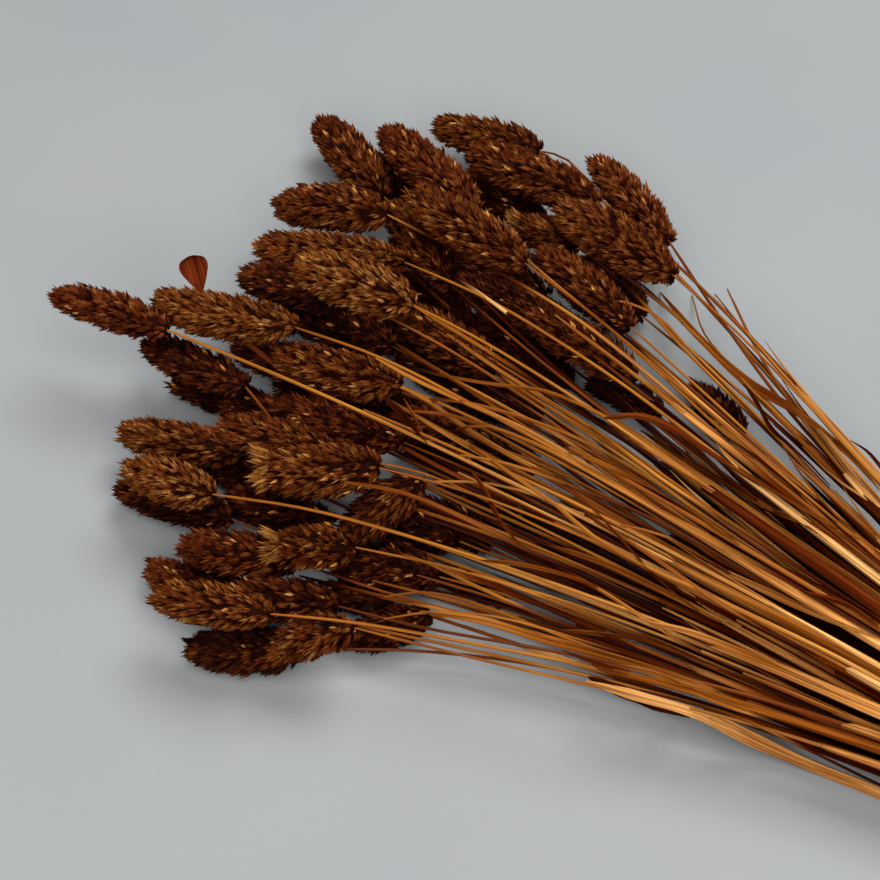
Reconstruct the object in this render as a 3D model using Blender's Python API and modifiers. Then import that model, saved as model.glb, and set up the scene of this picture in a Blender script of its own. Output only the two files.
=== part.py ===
"""A bunch of dried, dyed canary grass lying on a table.

Each stalk is one piece, a straw that ends in a seed head. The stalks fan out from a twine tie
near their cut ends, and the heads lie in a heap two or three deep.
Frame: +X runs along the bunch towards the cut ends, +Z is up, and the origin is the middle of
the footprint, on the table.
"""

import math

import bmesh
import bpy
import numpy as np
from mathutils import Vector

MM = 0.001
RNG = np.random.default_rng(11)

# How the photograph looks at the table: its pixels, and the eye's place over the picture's middle.
PICTURE_MIDDLE_PX = 440
FOCAL_PX = 2444
EYE_DISTANCE = 700 * MM
EYE_ELEVATION = math.radians(50)
EYE_AZIMUTH = math.radians(39)

# The tie, measured from the table point under the picture's middle.
TIE_ALONG = 238 * MM
TIE_ACROSS = 2 * MM
TIE_INNER_RADIUS = 16.5 * MM
TIE_SLACK = 1.1 * MM
TIE_PLACES = 74
TWINE_RADIUS = 0.9 * MM
TWINE_PITCH = 2.15 * MM
TWINE_TURNS = 3
TWINE_POINTS_PER_TURN = 16
TWINE_END_LENGTH = 14 * MM
KNOT_HALF_SIZES = Vector((3.9, 2.4, 1.9)) * MM
TIE_HEIGHT = TIE_INNER_RADIUS + 2 * TWINE_RADIUS

# Straw: stout where leaf sheaths wrap it, and thin from the last sheath's mouth to the neck.
# Its outline gives how far along from the cut end, and the radius there.
STRAW_BASE_RADIUS = 1.4 * MM
STRAW_NECK_RADIUS = 0.55 * MM
STRAW_OUTLINE = ((0, 1.4 * MM), (0.5, 1.35 * MM), (0.62, 1.15 * MM), (0.72, 0.72 * MM), (1, 0.55 * MM))
SHEATH_UNEVENNESS = 0.1
STRAW_SIDES = 5
TAIL_LENGTH = 78 * MM
TAIL_UNEVENNESS = 14 * MM
STRAW_STATIONS = (0.0, 0.28, 0.5, 0.7, 0.87, 1.0)
TIE_STATION = 1

# How straws leave the tie, by which side of the fan they lie on (near side first, as the slope
# towards the neck): the share of that slope they start with, and how long they hold it.
FAN_SIDES = (-0.35, 0.35)
START_SLOPE = (0.33, 0.58)
START_REACH = (0.52, 0.35)
START_RISE = 0.3
NECK_REACH = 0.25

# How the cut ends spread past the tie: their shares of the places in the tie, and their sag.
TAIL_SPREAD = 1.1
TAIL_RISE = 0.55
TAIL_SAG = 6 * MM

# A seed head: how far along from the neck, and the share of its radius there.
HEAD_OUTLINE = ((0.1, 0.7), (0.26, 0.95), (0.44, 1.0), (0.62, 0.95), (0.79, 0.77), (0.93, 0.44))
HEAD_ENVELOPE = ((0, 0.42), (0.2, 1.0), (0.5, 1.02), (0.8, 0.84), (1, 0.34))
HEAD_COLUMNS = 8
GROOVE_DEPTH = 0.26
SPIKE_LEAN = 0.045
UNEVENNESS = 0.1

# Gaps between the strands and under them.
CLEARANCE = 0.36 * MM
REST_HEIGHT = 0.02 * MM
SETTLING_ROUNDS = 1200
PULL_ACROSS = 0.14
PULL_ALONG = 0.02

# Seed heads, as pixels of the photograph and real sizes:
# neck pixel, tip pixel, neck height and tip height over the table in mm, radius in mm.
SEED_HEADS = (
    ((165, 329), (52, 296), 34, 31, 5.8),
    ((254, 400), (146, 342), 16, 12, 6.0),
    ((280, 428), (172, 384), 8, 7, 5.6),
    ((291, 327), (151, 297), 37, 31, 6.9),
    ((352, 302), (239, 274), 25, 22, 7.0),
    ((409, 303), (296, 268), 43, 38, 7.8),
    ((402, 262), (250, 248), 33, 27, 6.8),
    ((391, 343), (283, 302), 22, 20, 6.6),
    ((397, 384), (273, 350), 34, 29, 6.8),
    ((382, 195), (318, 121), 15, 12, 7.4),
    ((473, 208), (383, 130), 27, 20, 7.2),
    ((522, 262), (411, 195), 41, 35, 7.4),
    ((449, 281), (388, 205), 27, 23, 6.2),
    ((538, 149), (432, 124), 18, 12, 6.6),
    ((593, 202), (468, 152), 31, 24, 7.2),
    ((540, 218), (466, 174), 13, 9, 6.2),
    ((578, 246), (511, 224), 20, 22, 6.0),
    ((668, 272), (556, 208), 34, 28, 7.8),
    ((666, 239), (592, 160), 20, 14, 6.1),
    ((640, 314), (585, 258), 9, 8, 6.2),
    ((624, 329), (534, 257), 30, 26, 6.6),
    ((594, 352), (500, 290), 17, 15, 6.8),
    ((629, 370), (536, 318), 25, 20, 6.7),
    ((556, 346), (468, 280), 8, 7, 6.4),
    ((490, 369), (403, 312), 23, 19, 7.0),
    ((238, 452), (121, 431), 17, 12, 6.4),
    ((211, 494), (126, 469), 26, 21, 6.6),
    ((334, 454), (222, 424), 26, 23, 6.6),
    ((377, 467), (255, 468), 37, 33, 7.6),
    ((398, 440), (270, 410), 20, 18, 6.4),
    ((318, 424), (224, 397), 13, 11, 5.8),
    ((232, 517), (116, 490), 8, 7, 6.2),
    ((330, 524), (222, 498), 9, 8, 6.2),
    ((421, 480), (342, 540), 27, 19, 6.4),
    ((354, 545), (267, 546), 26, 27, 6.4),
    ((291, 573), (181, 549), 20, 17, 6.6),
    ((262, 598), (146, 565), 9, 8, 6.2),
    ((275, 612), (153, 594), 19, 14, 6.2),
    ((331, 611), (226, 589), 22, 18, 6.4),
    ((300, 650), (186, 648), 7, 6, 6.6),
    ((352, 622), (272, 652), 20, 10, 6.0),
    ((437, 577), (334, 566), 9, 9, 6.8),
    ((427, 614), (344, 636), 7, 6, 6.0),
    ((476, 438), (392, 424), 20, 15, 6.4),
    ((458, 540), (372, 512), 9, 8, 6.6),
    ((620, 570), (528, 550), 8, 7, 6.0),
    ((742, 432), (690, 388), 7, 6, 5.4),
    ((390, 218), (271, 207), 24, 20, 7.4),
    ((335, 374), (233, 348), 17, 14, 6.0),
    ((378, 405), (271, 383), 14, 12, 5.8),
    ((540, 303), (437, 262), 7, 7, 6.2),
)

# Straws that broke or were cut short of a head: far end pixel, and its height in mm.
BARE_STRAWS = (
    ((727, 289), 20),
    ((440, 372), 30),
)

# Straws that leave the others' lines: the pixel each one makes for from its neck or free end.
STRAW_BENDS = {
    "stalk_19": (810, 484),
    "stalk_40": (520, 640),
    "stalk_41": (630, 706),
    "bare_straw_01": (812, 495),
}

# Dry leaf blades among the straws: free tip pixel, its height in mm and half the width in mm.
LEAF_BLADES = (
    ((380, 394), 33, 1.3),
    ((562, 442), 27, 1.4),
    ((607, 414), 30, 1.4),
    ((456, 428), 31, 1.0),
    ((715, 300), 16, 1.2),
)
LEAF_THICKNESS = 0.35 * MM
LEAF_FOLD = 0.35
LEAF_OUTLINE = ((0, 0.62), (0.4, 0.9), (0.7, 1.0), (0.9, 0.7), (1, 0.12))

# The leaf tip that stands up like a fan: its foot and its edge in the photograph.
FAN_FOOT = ((200, 293), 33)
FAN_EDGE = ((190, 257), 40)
FAN_HALF_WIDTH = 4.1 * MM
FAN_OUTLINE = ((0, 0.14), (0.3, 0.72), (0.65, 1.0), (1, 0.5))
FAN_ENVELOPE = ((0, 0.3), (0.3, 0.8), (0.65, 1.0), (1, 0.8))

# Colours as linear red, green and blue.
HEAD_BROWN = (0.105, 0.036, 0.012)
STRAW_GOLD = (0.48, 0.2, 0.055)
LEAF_BROWN = (0.15, 0.038, 0.016)
TWINE_TAN = (0.42, 0.29, 0.15)


def eye_axes():
    """The picture's right, up and backward directions in the bunch's frame."""
    flat = math.cos(EYE_ELEVATION)
    back = Vector((math.sin(EYE_AZIMUTH) * flat, -math.cos(EYE_AZIMUTH) * flat, math.sin(EYE_ELEVATION)))
    right = Vector((math.cos(EYE_AZIMUTH), math.sin(EYE_AZIMUTH), 0))
    return right, back.cross(right), back


def from_picture(pixel, height_mm):
    """The point at a height over the table that the photograph shows at a pixel."""
    right, up, back = eye_axes()
    eye = back * EYE_DISTANCE
    across = pixel[0] - PICTURE_MIDDLE_PX
    down = pixel[1] - PICTURE_MIDDLE_PX
    ray = right * across - up * down - back * FOCAL_PX
    point = eye + ray * ((height_mm * MM - eye.z) / ray.z)
    return np.array(point)


def along_outline(outline, share):
    """The value of a broken line of (place, value) pairs at a place."""
    return float(np.interp(share, [p[0] for p in outline], [p[1] for p in outline]))


def unit(vector):
    """A vector's direction."""
    return vector / np.linalg.norm(vector)


def distances_along(points):
    """How far along a chain each of its points lies."""
    steps = np.linalg.norm(np.diff(np.array(points), axis=0), axis=1)
    return np.concatenate(([0], np.cumsum(steps)))


class Strand:
    """A stalk, bare straw or leaf: a straw from the tie to its neck, and a head or fan beyond."""

    def __init__(self, name, kind, neck, thin_radius, tip=None, head_radius=0.0, envelope=()):
        self.name = name
        self.kind = kind
        self.neck = neck
        self.thin_radius = thin_radius
        self.tip = tip
        self.head_radius = head_radius
        self.envelope = envelope
        self.slot = (0.0, 0.0)


def tie_slots(count):
    """Places in the tie for so many straws among the thinner ones, as (across, height) pairs."""
    pitch = 2 * STRAW_BASE_RADIUS + CLEARANCE
    rows = range(-8, 9)
    places = [
        (pitch * (column + 0.5 * (row % 2)), pitch * math.sqrt(0.75) * row)
        for row in rows
        for column in rows
    ]
    places.sort(key=lambda place: math.hypot(*place))
    chosen = RNG.choice(TIE_PLACES, size=count, replace=False)
    return [(TIE_ACROSS + places[i][0], TIE_HEIGHT + places[i][1]) for i in chosen]


def share_slots(strands):
    """Gives each strand a place in the tie, in the order of the fan, so that few straws cross."""
    slots = sorted(tie_slots(len(strands)))
    spread = [
        math.atan2(s.neck[1] - TIE_ACROSS, TIE_ALONG - s.neck[0]) + RNG.normal(0, 0.035)
        for s in strands
    ]
    order = sorted(range(len(strands)), key=lambda i: spread[i])
    column = 7
    for start in range(0, len(order), column):
        group = sorted(order[start : start + column], key=lambda i: strands[i].neck[2])
        places = sorted(slots[start : start + column], key=lambda place: place[1])
        for index, place in zip(group, places):
            strands[index].slot = place


def straw_route(strand):
    """A straw's points from its cut end, through the tie, to its neck, on one smooth curve."""
    across, height = strand.slot
    tie = np.array((TIE_ALONG, across, height))
    neck = strand.neck
    span = np.linalg.norm(tie - neck)
    leaving = unit(tie - neck)
    if strand.tip is not None:
        leaving = (unit(neck - strand.tip) + leaving) / 2
    side = (neck[1] - tie[1]) / span
    slope = np.interp(side, FAN_SIDES, START_SLOPE)
    reach = np.interp(side, FAN_SIDES, START_REACH)
    inward = np.array((1, -side * slope, (tie[2] - neck[2]) / span * START_RISE))
    bend = neck + leaving * span * NECK_REACH
    if strand.name in STRAW_BENDS:
        bend = from_picture(STRAW_BENDS[strand.name], neck[2] / MM)
    corners = (neck, bend, tie - inward * span * reach, tie)
    points = []
    for share in STRAW_STATIONS:
        t = 1 - share
        weights = ((1 - t) ** 3, 3 * t * (1 - t) ** 2, 3 * t * t * (1 - t), t**3)
        points.append(sum(w * c for w, c in zip(weights, corners)))
    tail = TAIL_LENGTH + RNG.uniform(-1, 1) * TAIL_UNEVENNESS
    spread = TAIL_SPREAD * (across - TIE_ACROSS)
    rise = TAIL_RISE * (height - TIE_HEIGHT) - TAIL_SAG
    return [tie + np.array((tail, spread, rise)), *points]


def straw_radii(strand, route):
    """A straw's radius at each point of its route."""
    shares = distances_along(route)
    shares /= shares[-1]
    if strand.kind == "blade":
        return STRAW_BASE_RADIUS * (1 - shares) + strand.thin_radius * shares
    sheath = 1 + RNG.uniform(-SHEATH_UNEVENNESS, SHEATH_UNEVENNESS)
    return [along_outline(STRAW_OUTLINE, share * sheath) for share in shares]


class Chains:
    """Every strand as a chain of points with radii, in shared arrays, for laying them out."""

    def __init__(self, strands):
        points, radii, starts, necks = [], [], [], []
        for strand in strands:
            route = straw_route(strand)
            starts.append(len(points))
            points.extend(route)
            radii.extend(straw_radii(strand, route))
            necks.append(len(points) - 1)
            if strand.envelope:
                radii[-1] = max(radii[-1], strand.envelope[0][1] * strand.head_radius)
            for share, wide in strand.envelope[1:]:
                points.append(strand.neck + (strand.tip - strand.neck) * share)
                radii.append(wide * strand.head_radius)
        self.strands = strands
        self.points = np.array(points)
        self.radii = np.array(radii)
        self.target = self.points.copy()
        self.starts = starts + [len(points)]
        self.necks = necks
        self.tie = np.array(starts) + TIE_STATION
        self.straw = np.zeros(len(points), bool)
        self.segments, self.owners, bends = [], [], []
        for i in range(len(strands)):
            self.straw[starts[i] : necks[i]] = True
            bends.extend(range(starts[i] + TIE_STATION + 1, necks[i]))
            for k in range(starts[i], self.starts[i + 1] - 1):
                self.segments.append((k, k + 1))
                self.owners.append(i)
        self.segments = np.array(self.segments)
        self.owners = np.array(self.owners)
        self.bends = np.array(bends)

    def near_pairs(self, margin):
        """Pairs of segments of different strands that lie near each other."""
        first, last = self.points[self.segments[:, 0]], self.points[self.segments[:, 1]]
        middle = (first + last) / 2
        reach = np.linalg.norm(last - first, axis=1) / 2 + margin
        reach += np.maximum(self.radii[self.segments[:, 0]], self.radii[self.segments[:, 1]])
        one, two = np.triu_indices(len(self.segments), 1)
        apart = self.owners[one] != self.owners[two]
        one, two = one[apart], two[apart]
        close = np.linalg.norm(middle[one] - middle[two], axis=1) < reach[one] + reach[two]
        return self.segments[one[close]], self.segments[two[close]]

    def push_apart(self, pairs):
        """Moves overlapping strands off each other, and returns the deepest overlap."""
        one, two = pairs
        a, b = self.points[one[:, 0]], self.points[one[:, 1]]
        c, d = self.points[two[:, 0]], self.points[two[:, 1]]
        s, t = nearest_between(a, b, c, d)
        between = (a + (b - a) * s[:, None]) - (c + (d - c) * t[:, None])
        distance = np.linalg.norm(between, axis=1)
        reach = self.radii[one[:, 0]] * (1 - s) + self.radii[one[:, 1]] * s
        reach += self.radii[two[:, 0]] * (1 - t) + self.radii[two[:, 1]] * t
        overlap = reach + CLEARANCE - distance
        hit = overlap > 0
        if not hit.any():
            return 0.0
        normal = between[hit] / np.maximum(distance[hit], 1e-9)[:, None]
        move, weight = np.zeros_like(self.points), np.zeros(len(self.points))
        for ends, share, sign in ((one, s, 1), (two, t, -1)):
            for column, part in ((0, 1 - share), (1, share)):
                index = ends[hit, column]
                amount = 0.5 * overlap[hit] * part[hit]
                np.add.at(move, index, sign * normal * amount[:, None])
                np.add.at(weight, index, part[hit])
        ease = np.where(self.straw, 1.6, 0.7) / np.maximum(weight, 1)
        self.points += move * ease[:, None]
        return float(overlap.max())

    def straighten_heads(self):
        """Keeps each head straight and at its own length after its points were pushed."""
        for i, strand in enumerate(self.strands):
            if not strand.envelope:
                continue
            chain = slice(self.necks[i], self.starts[i + 1])
            places = np.array([place for place, _ in strand.envelope])
            places -= places.mean()
            middle = self.points[chain].mean(0)
            along = unit((places[:, None] * (self.points[chain] - middle)).sum(0))
            self.points[chain] = middle + np.outer(places, along) * np.linalg.norm(strand.tip - strand.neck)

    def smooth_straws(self, strength):
        """Evens out how far each straw's points were pushed off its own curve."""
        k = self.bends
        before = np.linalg.norm(self.target[k] - self.target[k - 1], axis=1)
        after = np.linalg.norm(self.target[k + 1] - self.target[k], axis=1)
        lean = (before / (before + after))[:, None]
        pushed = self.points - self.target
        even = pushed[k - 1] * (1 - lean) + pushed[k + 1] * lean
        self.points[k] += (even - pushed[k]) * strength

    def hold_in_tie(self):
        """Keeps the straws inside the twine where it goes round them."""
        middle = np.array((TIE_ACROSS, TIE_HEIGHT))
        offset = self.points[self.tie][:, 1:] - middle
        distance = np.linalg.norm(offset, axis=1)
        room = TIE_INNER_RADIUS - self.radii[self.tie] - TIE_SLACK
        scale = np.minimum(1, room / np.maximum(distance, 1e-9))
        self.points[self.tie, 1:] = middle + offset * scale[:, None]

    def draw_back_heads(self, calm):
        """Draws each head back to where the photograph shows it, less strongly along its line of sight."""
        head = ~self.straw
        eye = np.array(eye_axes()[2]) * EYE_DISTANCE
        sight = self.target[head] - eye
        sight /= np.linalg.norm(sight, axis=1)[:, None]
        pull = self.target[head] - self.points[head]
        deep = (pull * sight).sum(1)[:, None] * sight
        self.points[head] += calm * (PULL_ACROSS * (pull - deep) + PULL_ALONG * deep)

    def settle(self):
        """Lays the strands so that none runs through another, the tie or the table."""
        for step in range(SETTLING_ROUNDS):
            if step % 12 == 0:
                pairs = self.near_pairs(2 * MM)
            calm = max(0.0, 1 - step / (0.75 * SETTLING_ROUNDS))
            self.smooth_straws(0.12 * calm)
            self.draw_back_heads(calm)
            deepest = self.push_apart(pairs)
            self.straighten_heads()
            self.points[self.straw, 0] = self.target[self.straw, 0]
            self.hold_in_tie()
            self.points[:, 2] = np.maximum(self.points[:, 2], self.radii + REST_HEIGHT)
            if calm == 0 and deepest < 0.1 * CLEARANCE:
                break
        for i, strand in enumerate(self.strands):
            strand.straw = self.points[self.starts[i] : self.necks[i] + 1]
            strand.radii = self.radii[self.starts[i] : self.necks[i] + 1].copy()
            strand.radii[-1] = strand.thin_radius
            if strand.envelope:
                strand.tip = self.points[self.starts[i + 1] - 1]


def nearest_between(a, b, c, d):
    """Where segments a-b and c-d come closest, as shares along each."""
    u, v, w = b - a, d - c, a - c
    uu, uv, vv = (u * u).sum(1), (u * v).sum(1), (v * v).sum(1)
    uw, vw = (u * w).sum(1), (v * w).sum(1)
    spread = np.maximum(uu * vv - uv * uv, 1e-18)
    s = np.clip((uv * vw - vv * uw) / spread, 0, 1)
    t = np.clip((uv * s + vw) / np.maximum(vv, 1e-18), 0, 1)
    s = np.clip((uv * t - uw) / np.maximum(uu, 1e-18), 0, 1)
    return s, t


def lay_out():
    """The strands of the bunch, settled."""
    strands = []
    for number, (neck, tip, neck_height, tip_height, radius) in enumerate(SEED_HEADS, 1):
        foot, end = from_picture(neck, neck_height), from_picture(tip, tip_height)
        name = f"stalk_{number:02d}"
        strands.append(Strand(name, "stalk", foot, STRAW_NECK_RADIUS, end, radius * MM, HEAD_ENVELOPE))
    for number, (end, height) in enumerate(BARE_STRAWS, 1):
        radius = 0.75 * STRAW_BASE_RADIUS
        strands.append(Strand(f"bare_straw_{number:02d}", "bare", from_picture(end, height), radius))
    for number, (end, height, half_width) in enumerate(LEAF_BLADES, 1):
        foot = from_picture(end, height)
        strands.append(Strand(f"leaf_blade_{number:02d}", "blade", foot, half_width * MM))
    foot, edge = from_picture(*FAN_FOOT), from_picture(*FAN_EDGE)
    strands.append(Strand("leaf_fan", "fan", foot, STRAW_NECK_RADIUS, edge, FAN_HALF_WIDTH, FAN_ENVELOPE))
    share_slots(strands)
    Chains(strands).settle()
    return strands


def ring_axes(points):
    """At each point of a chain, the directions across it: one as low as it can be, and one level."""
    forward = np.gradient(np.array(points), axis=0)
    axes = []
    for along in forward:
        along = unit(along)
        level = unit(np.cross(along, (0, 0, 1)))
        axes.append((np.cross(along, level), level))
    return axes


def round_ring(middle, axes, radii):
    """Points round a place on a chain, the first one lowest, with a radius for each."""
    low, level = axes
    angles = np.arange(len(radii)) * 2 * math.pi / len(radii)
    return [middle + r * (math.cos(a) * low + math.sin(a) * level) for a, r in zip(angles, radii)]


def join_rings(mesh, one, two, slot):
    """Fills the band between two rings, which may have unlike numbers of points."""
    i = j = 0
    while i < len(one) or j < len(two):
        if j == len(two) or (i < len(one) and (i + 1) / len(one) <= (j + 1) / len(two)):
            corners = (one[i % len(one)], one[(i + 1) % len(one)], two[j % len(two)])
            i += 1
        else:
            corners = (one[i % len(one)], two[(j + 1) % len(two)], two[j % len(two)])
            j += 1
        mesh.faces.new(corners).material_index = slot


def scaly_band(mesh, one, two, number, slot):
    """Fills the band between two rings of a head, with its edges running along the grooves."""
    count = len(one)
    for j in range(count):
        k = (j + 1) % count
        if (j + number) % 2 == 0:
            halves = ((one[j], one[k], two[j]), (one[k], two[k], two[j]))
        else:
            halves = ((one[j], one[k], two[k]), (one[j], two[k], two[j]))
        for corners in halves:
            mesh.faces.new(corners).material_index = slot


def head_rings(strand):
    """The rings of a seed head, its scales' tips raised and leaning towards the head's tip."""
    neck, tip = strand.straw[-1], strand.tip
    length = np.linalg.norm(tip - neck)
    along = unit(tip - neck)
    axes = ring_axes([neck, tip])[0]
    lean = along * length * SPIKE_LEAN
    rings = []
    for number, (share, wide) in enumerate(HEAD_OUTLINE):
        raised = (np.arange(HEAD_COLUMNS) + number) % 2 == 0
        radii = strand.head_radius * wide * np.where(raised, 1.0, 1 - GROOVE_DEPTH)
        radii[1:] *= 1 - RNG.uniform(0, UNEVENNESS, HEAD_COLUMNS - 1)
        ring = round_ring(neck + along * length * share, axes, radii)
        rings.append([point + (lean if up else -lean) for point, up in zip(ring, raised)])
    return rings


def build_stalk(strand):
    """A straw and its seed head, as one closed body."""
    mesh = bmesh.new()
    axes = ring_axes(strand.straw)
    rings = [
        [mesh.verts.new(p) for p in round_ring(middle, across, np.full(STRAW_SIDES, radius))]
        for middle, across, radius in zip(strand.straw, axes, strand.radii)
    ]
    mesh.faces.new(rings[0])
    for one, two in zip(rings, rings[1:]):
        join_rings(mesh, one, two, 0)
    if strand.kind == "bare":
        mesh.faces.new(rings[-1])
        return mesh
    scales = [[mesh.verts.new(p) for p in ring] for ring in head_rings(strand)]
    join_rings(mesh, rings[-1], scales[0], 1)
    for number, (one, two) in enumerate(zip(scales, scales[1:])):
        scaly_band(mesh, one, two, number, 1)
    apex = mesh.verts.new(strand.tip)
    for j in range(HEAD_COLUMNS):
        corners = (scales[-1][j], scales[-1][(j + 1) % HEAD_COLUMNS], apex)
        mesh.faces.new(corners).material_index = 1
    return mesh


def build_blade(strand):
    """A leaf as an open strip with a fold down its middle, facing the photograph's eye."""
    back = np.array(eye_axes()[2])
    points = list(strand.straw)
    shares = distances_along(points) / distances_along(points)[-1]
    if strand.kind == "blade":
        half_widths = [strand.thin_radius * along_outline(LEAF_OUTLINE, s) for s in shares]
    else:
        half_widths = [STRAW_NECK_RADIUS] * len(points)
        for share, wide in FAN_OUTLINE[1:]:
            points.append(strand.straw[-1] + (strand.tip - strand.straw[-1]) * share)
            half_widths.append(wide * FAN_HALF_WIDTH)
    mesh = bmesh.new()
    rows = []
    for point, along, half in zip(points, np.gradient(np.array(points), axis=0), half_widths):
        side = unit(np.cross(unit(along), back))
        fold = unit(np.cross(side, unit(along))) * half * LEAF_FOLD
        rows.append([mesh.verts.new(p) for p in (point - side * half, point - fold, point + side * half)])
    for one, two in zip(rows, rows[1:]):
        for j in (0, 1):
            mesh.faces.new((one[j], one[j + 1], two[j + 1], two[j]))
    return mesh


def material(name, colour, roughness):
    """A plain material."""
    made = bpy.data.materials.new(name)
    made.use_nodes = True
    shader = made.node_tree.nodes["Principled BSDF"]
    shader.inputs["Base Color"].default_value = (*colour, 1)
    shader.inputs["Roughness"].default_value = roughness
    shader.inputs["Metallic"].default_value = 0
    return made


def add_object(name, data, materials, collection, parent, place):
    """An object of the bunch at a place, from a mesh modelled round its own origin."""
    for used in materials:
        data.materials.append(used)
    data.shade_smooth()
    data.set_sharp_from_angle(angle=math.radians(50))
    obj = bpy.data.objects.new(name, data)
    obj.location = place
    obj.parent = parent
    collection.objects.link(obj)
    return obj


def add_strand(strand, collection, parent):
    """One stalk, bare straw or leaf as an object whose origin is where the tie holds it."""
    place = Vector(strand.straw[TIE_STATION])
    if strand.kind in ("stalk", "bare"):
        mesh = build_stalk(strand)
        materials = [material(f"{strand.name}_straw", STRAW_GOLD, 0.5)]
        if strand.kind == "stalk":
            materials.append(material(f"{strand.name}_head", HEAD_BROWN, 0.7))
    else:
        mesh = build_blade(strand)
        materials = [material(f"{strand.name}_leaf", LEAF_BROWN, 0.7)]
    bmesh.ops.translate(mesh, verts=mesh.verts, vec=-place)
    bmesh.ops.recalc_face_normals(mesh, faces=mesh.faces)
    data = bpy.data.meshes.new(strand.name)
    mesh.to_mesh(data)
    mesh.free()
    obj = add_object(strand.name, data, materials, collection, parent, place)
    if strand.kind in ("blade", "fan"):
        shell = obj.modifiers.new("thickness", "SOLIDIFY")
        shell.thickness = LEAF_THICKNESS
        shell.offset = 0


def twine_route():
    """The twine's points round the straws, from one free end on top to the other."""
    radius = TIE_INNER_RADIUS + TWINE_RADIUS
    points = []
    for step in range(TWINE_TURNS * TWINE_POINTS_PER_TURN + 1):
        turn = step / TWINE_POINTS_PER_TURN
        angle = math.pi / 2 + 2 * math.pi * turn
        along = TWINE_PITCH * (turn - TWINE_TURNS / 2)
        points.append(Vector((along, radius * math.cos(angle), radius * math.sin(angle))))
    first = points[0] + Vector((-0.35, 1, 0.3)).normalized() * TWINE_END_LENGTH
    last = points[-1] + Vector((0.35, -1, 0.3)).normalized() * TWINE_END_LENGTH
    return [first, *points, last]


def add_tie(collection, tools, parent):
    """The twine tie: turns of twine side by side, joined by a knot on top."""
    curve = bpy.data.curves.new("twine_tie", "CURVE")
    curve.dimensions = "3D"
    curve.bevel_depth = TWINE_RADIUS
    curve.bevel_resolution = 1
    curve.use_fill_caps = True
    route = twine_route()
    spline = curve.splines.new("POLY")
    spline.points.add(len(route) - 1)
    for point, spot in zip(spline.points, route):
        point.co = (*spot, 1)
    guide = bpy.data.objects.new("twine_guide", curve)
    collection.objects.link(guide)
    data = bpy.data.meshes.new_from_object(guide.evaluated_get(bpy.context.evaluated_depsgraph_get()))
    bpy.data.objects.remove(guide)
    mesh = bmesh.new()
    mesh.from_mesh(data)
    bmesh.ops.remove_doubles(mesh, verts=mesh.verts, dist=0.01 * MM)
    mesh.to_mesh(data)
    mesh.free()
    place = Vector((TIE_ALONG, TIE_ACROSS, TIE_HEIGHT))
    tie = add_object("twine_tie", data, [material("twine_tie", TWINE_TAN, 0.9)], collection, parent, place)
    bpy.ops.mesh.primitive_uv_sphere_add(segments=10, ring_count=6, radius=1)
    knot = bpy.context.object
    knot.name = "knot_joined_to_twine"
    knot.scale = KNOT_HALF_SIZES
    knot.location = place + Vector((0, 0, TIE_INNER_RADIUS + 2 * TWINE_RADIUS + 0.3 * KNOT_HALF_SIZES.z))
    knot.parent = parent
    knot.hide_render = True
    knot.display_type = "WIRE"
    for used in list(knot.users_collection):
        used.objects.unlink(knot)
    tools.objects.link(knot)
    join = tie.modifiers.new("knot", "BOOLEAN")
    join.operation = "UNION"
    join.object = knot


def stand_on_origin(collection, frame):
    """Moves the bunch so that the middle of its footprint is the origin and it rests at height 0."""
    bpy.context.view_layer.update()
    depsgraph = bpy.context.evaluated_depsgraph_get()
    corners = []
    for obj in collection.objects:
        if obj.type == "MESH":
            seen = obj.evaluated_get(depsgraph)
            corners.extend(seen.matrix_world @ vertex.co for vertex in seen.data.vertices)
    corners = np.array(corners)
    low, high = corners.min(0), corners.max(0)
    frame.location = (-(low[0] + high[0]) / 2, -(low[1] + high[1]) / 2, -low[2])


def main():
    for obj in list(bpy.data.objects):
        bpy.data.objects.remove(obj)
    bunch = bpy.data.collections.new("canary_grass_bunch")
    tools = bpy.data.collections.new("joining_shapes")
    for collection in (bunch, tools):
        bpy.context.scene.collection.children.link(collection)
    frame = bpy.data.objects.new("bunch", None)
    bunch.objects.link(frame)
    for strand in lay_out():
        add_strand(strand, bunch, frame)
    add_tie(bunch, tools, frame)
    stand_on_origin(bunch, frame)


if __name__ == "__main__":
    main()
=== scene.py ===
"""Dresses the bunch of dried canary grass.

Scaly seed heads, straws with leaf sheaths, dry leaves, loose straws, twisted twine, and the studio
round them. Laid out as an add-on and run as a script.
"""

import math

import bmesh
import bpy
import numpy as np
from bpy.props import FloatProperty, FloatVectorProperty, IntProperty, PointerProperty
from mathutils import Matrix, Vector
from mathutils.bvhtree import BVHTree


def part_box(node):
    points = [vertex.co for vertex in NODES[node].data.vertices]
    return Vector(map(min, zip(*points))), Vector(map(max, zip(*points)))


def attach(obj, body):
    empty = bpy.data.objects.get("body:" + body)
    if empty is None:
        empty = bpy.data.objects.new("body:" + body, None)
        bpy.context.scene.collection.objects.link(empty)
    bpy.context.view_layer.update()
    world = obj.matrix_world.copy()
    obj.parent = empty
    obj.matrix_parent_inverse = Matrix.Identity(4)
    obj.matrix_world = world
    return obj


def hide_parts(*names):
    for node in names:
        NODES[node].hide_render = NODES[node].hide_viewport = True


bl_info = {
    "name": "Canary grass bunch",
    "version": (1, 0, 0),
    "blender": (4, 5, 0),
    "location": "View3D > Sidebar > Grass",
    "description": "Seed heads, straws, dry leaves and twine for a bunch of dried canary grass",
    "category": "Object",
}

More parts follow.
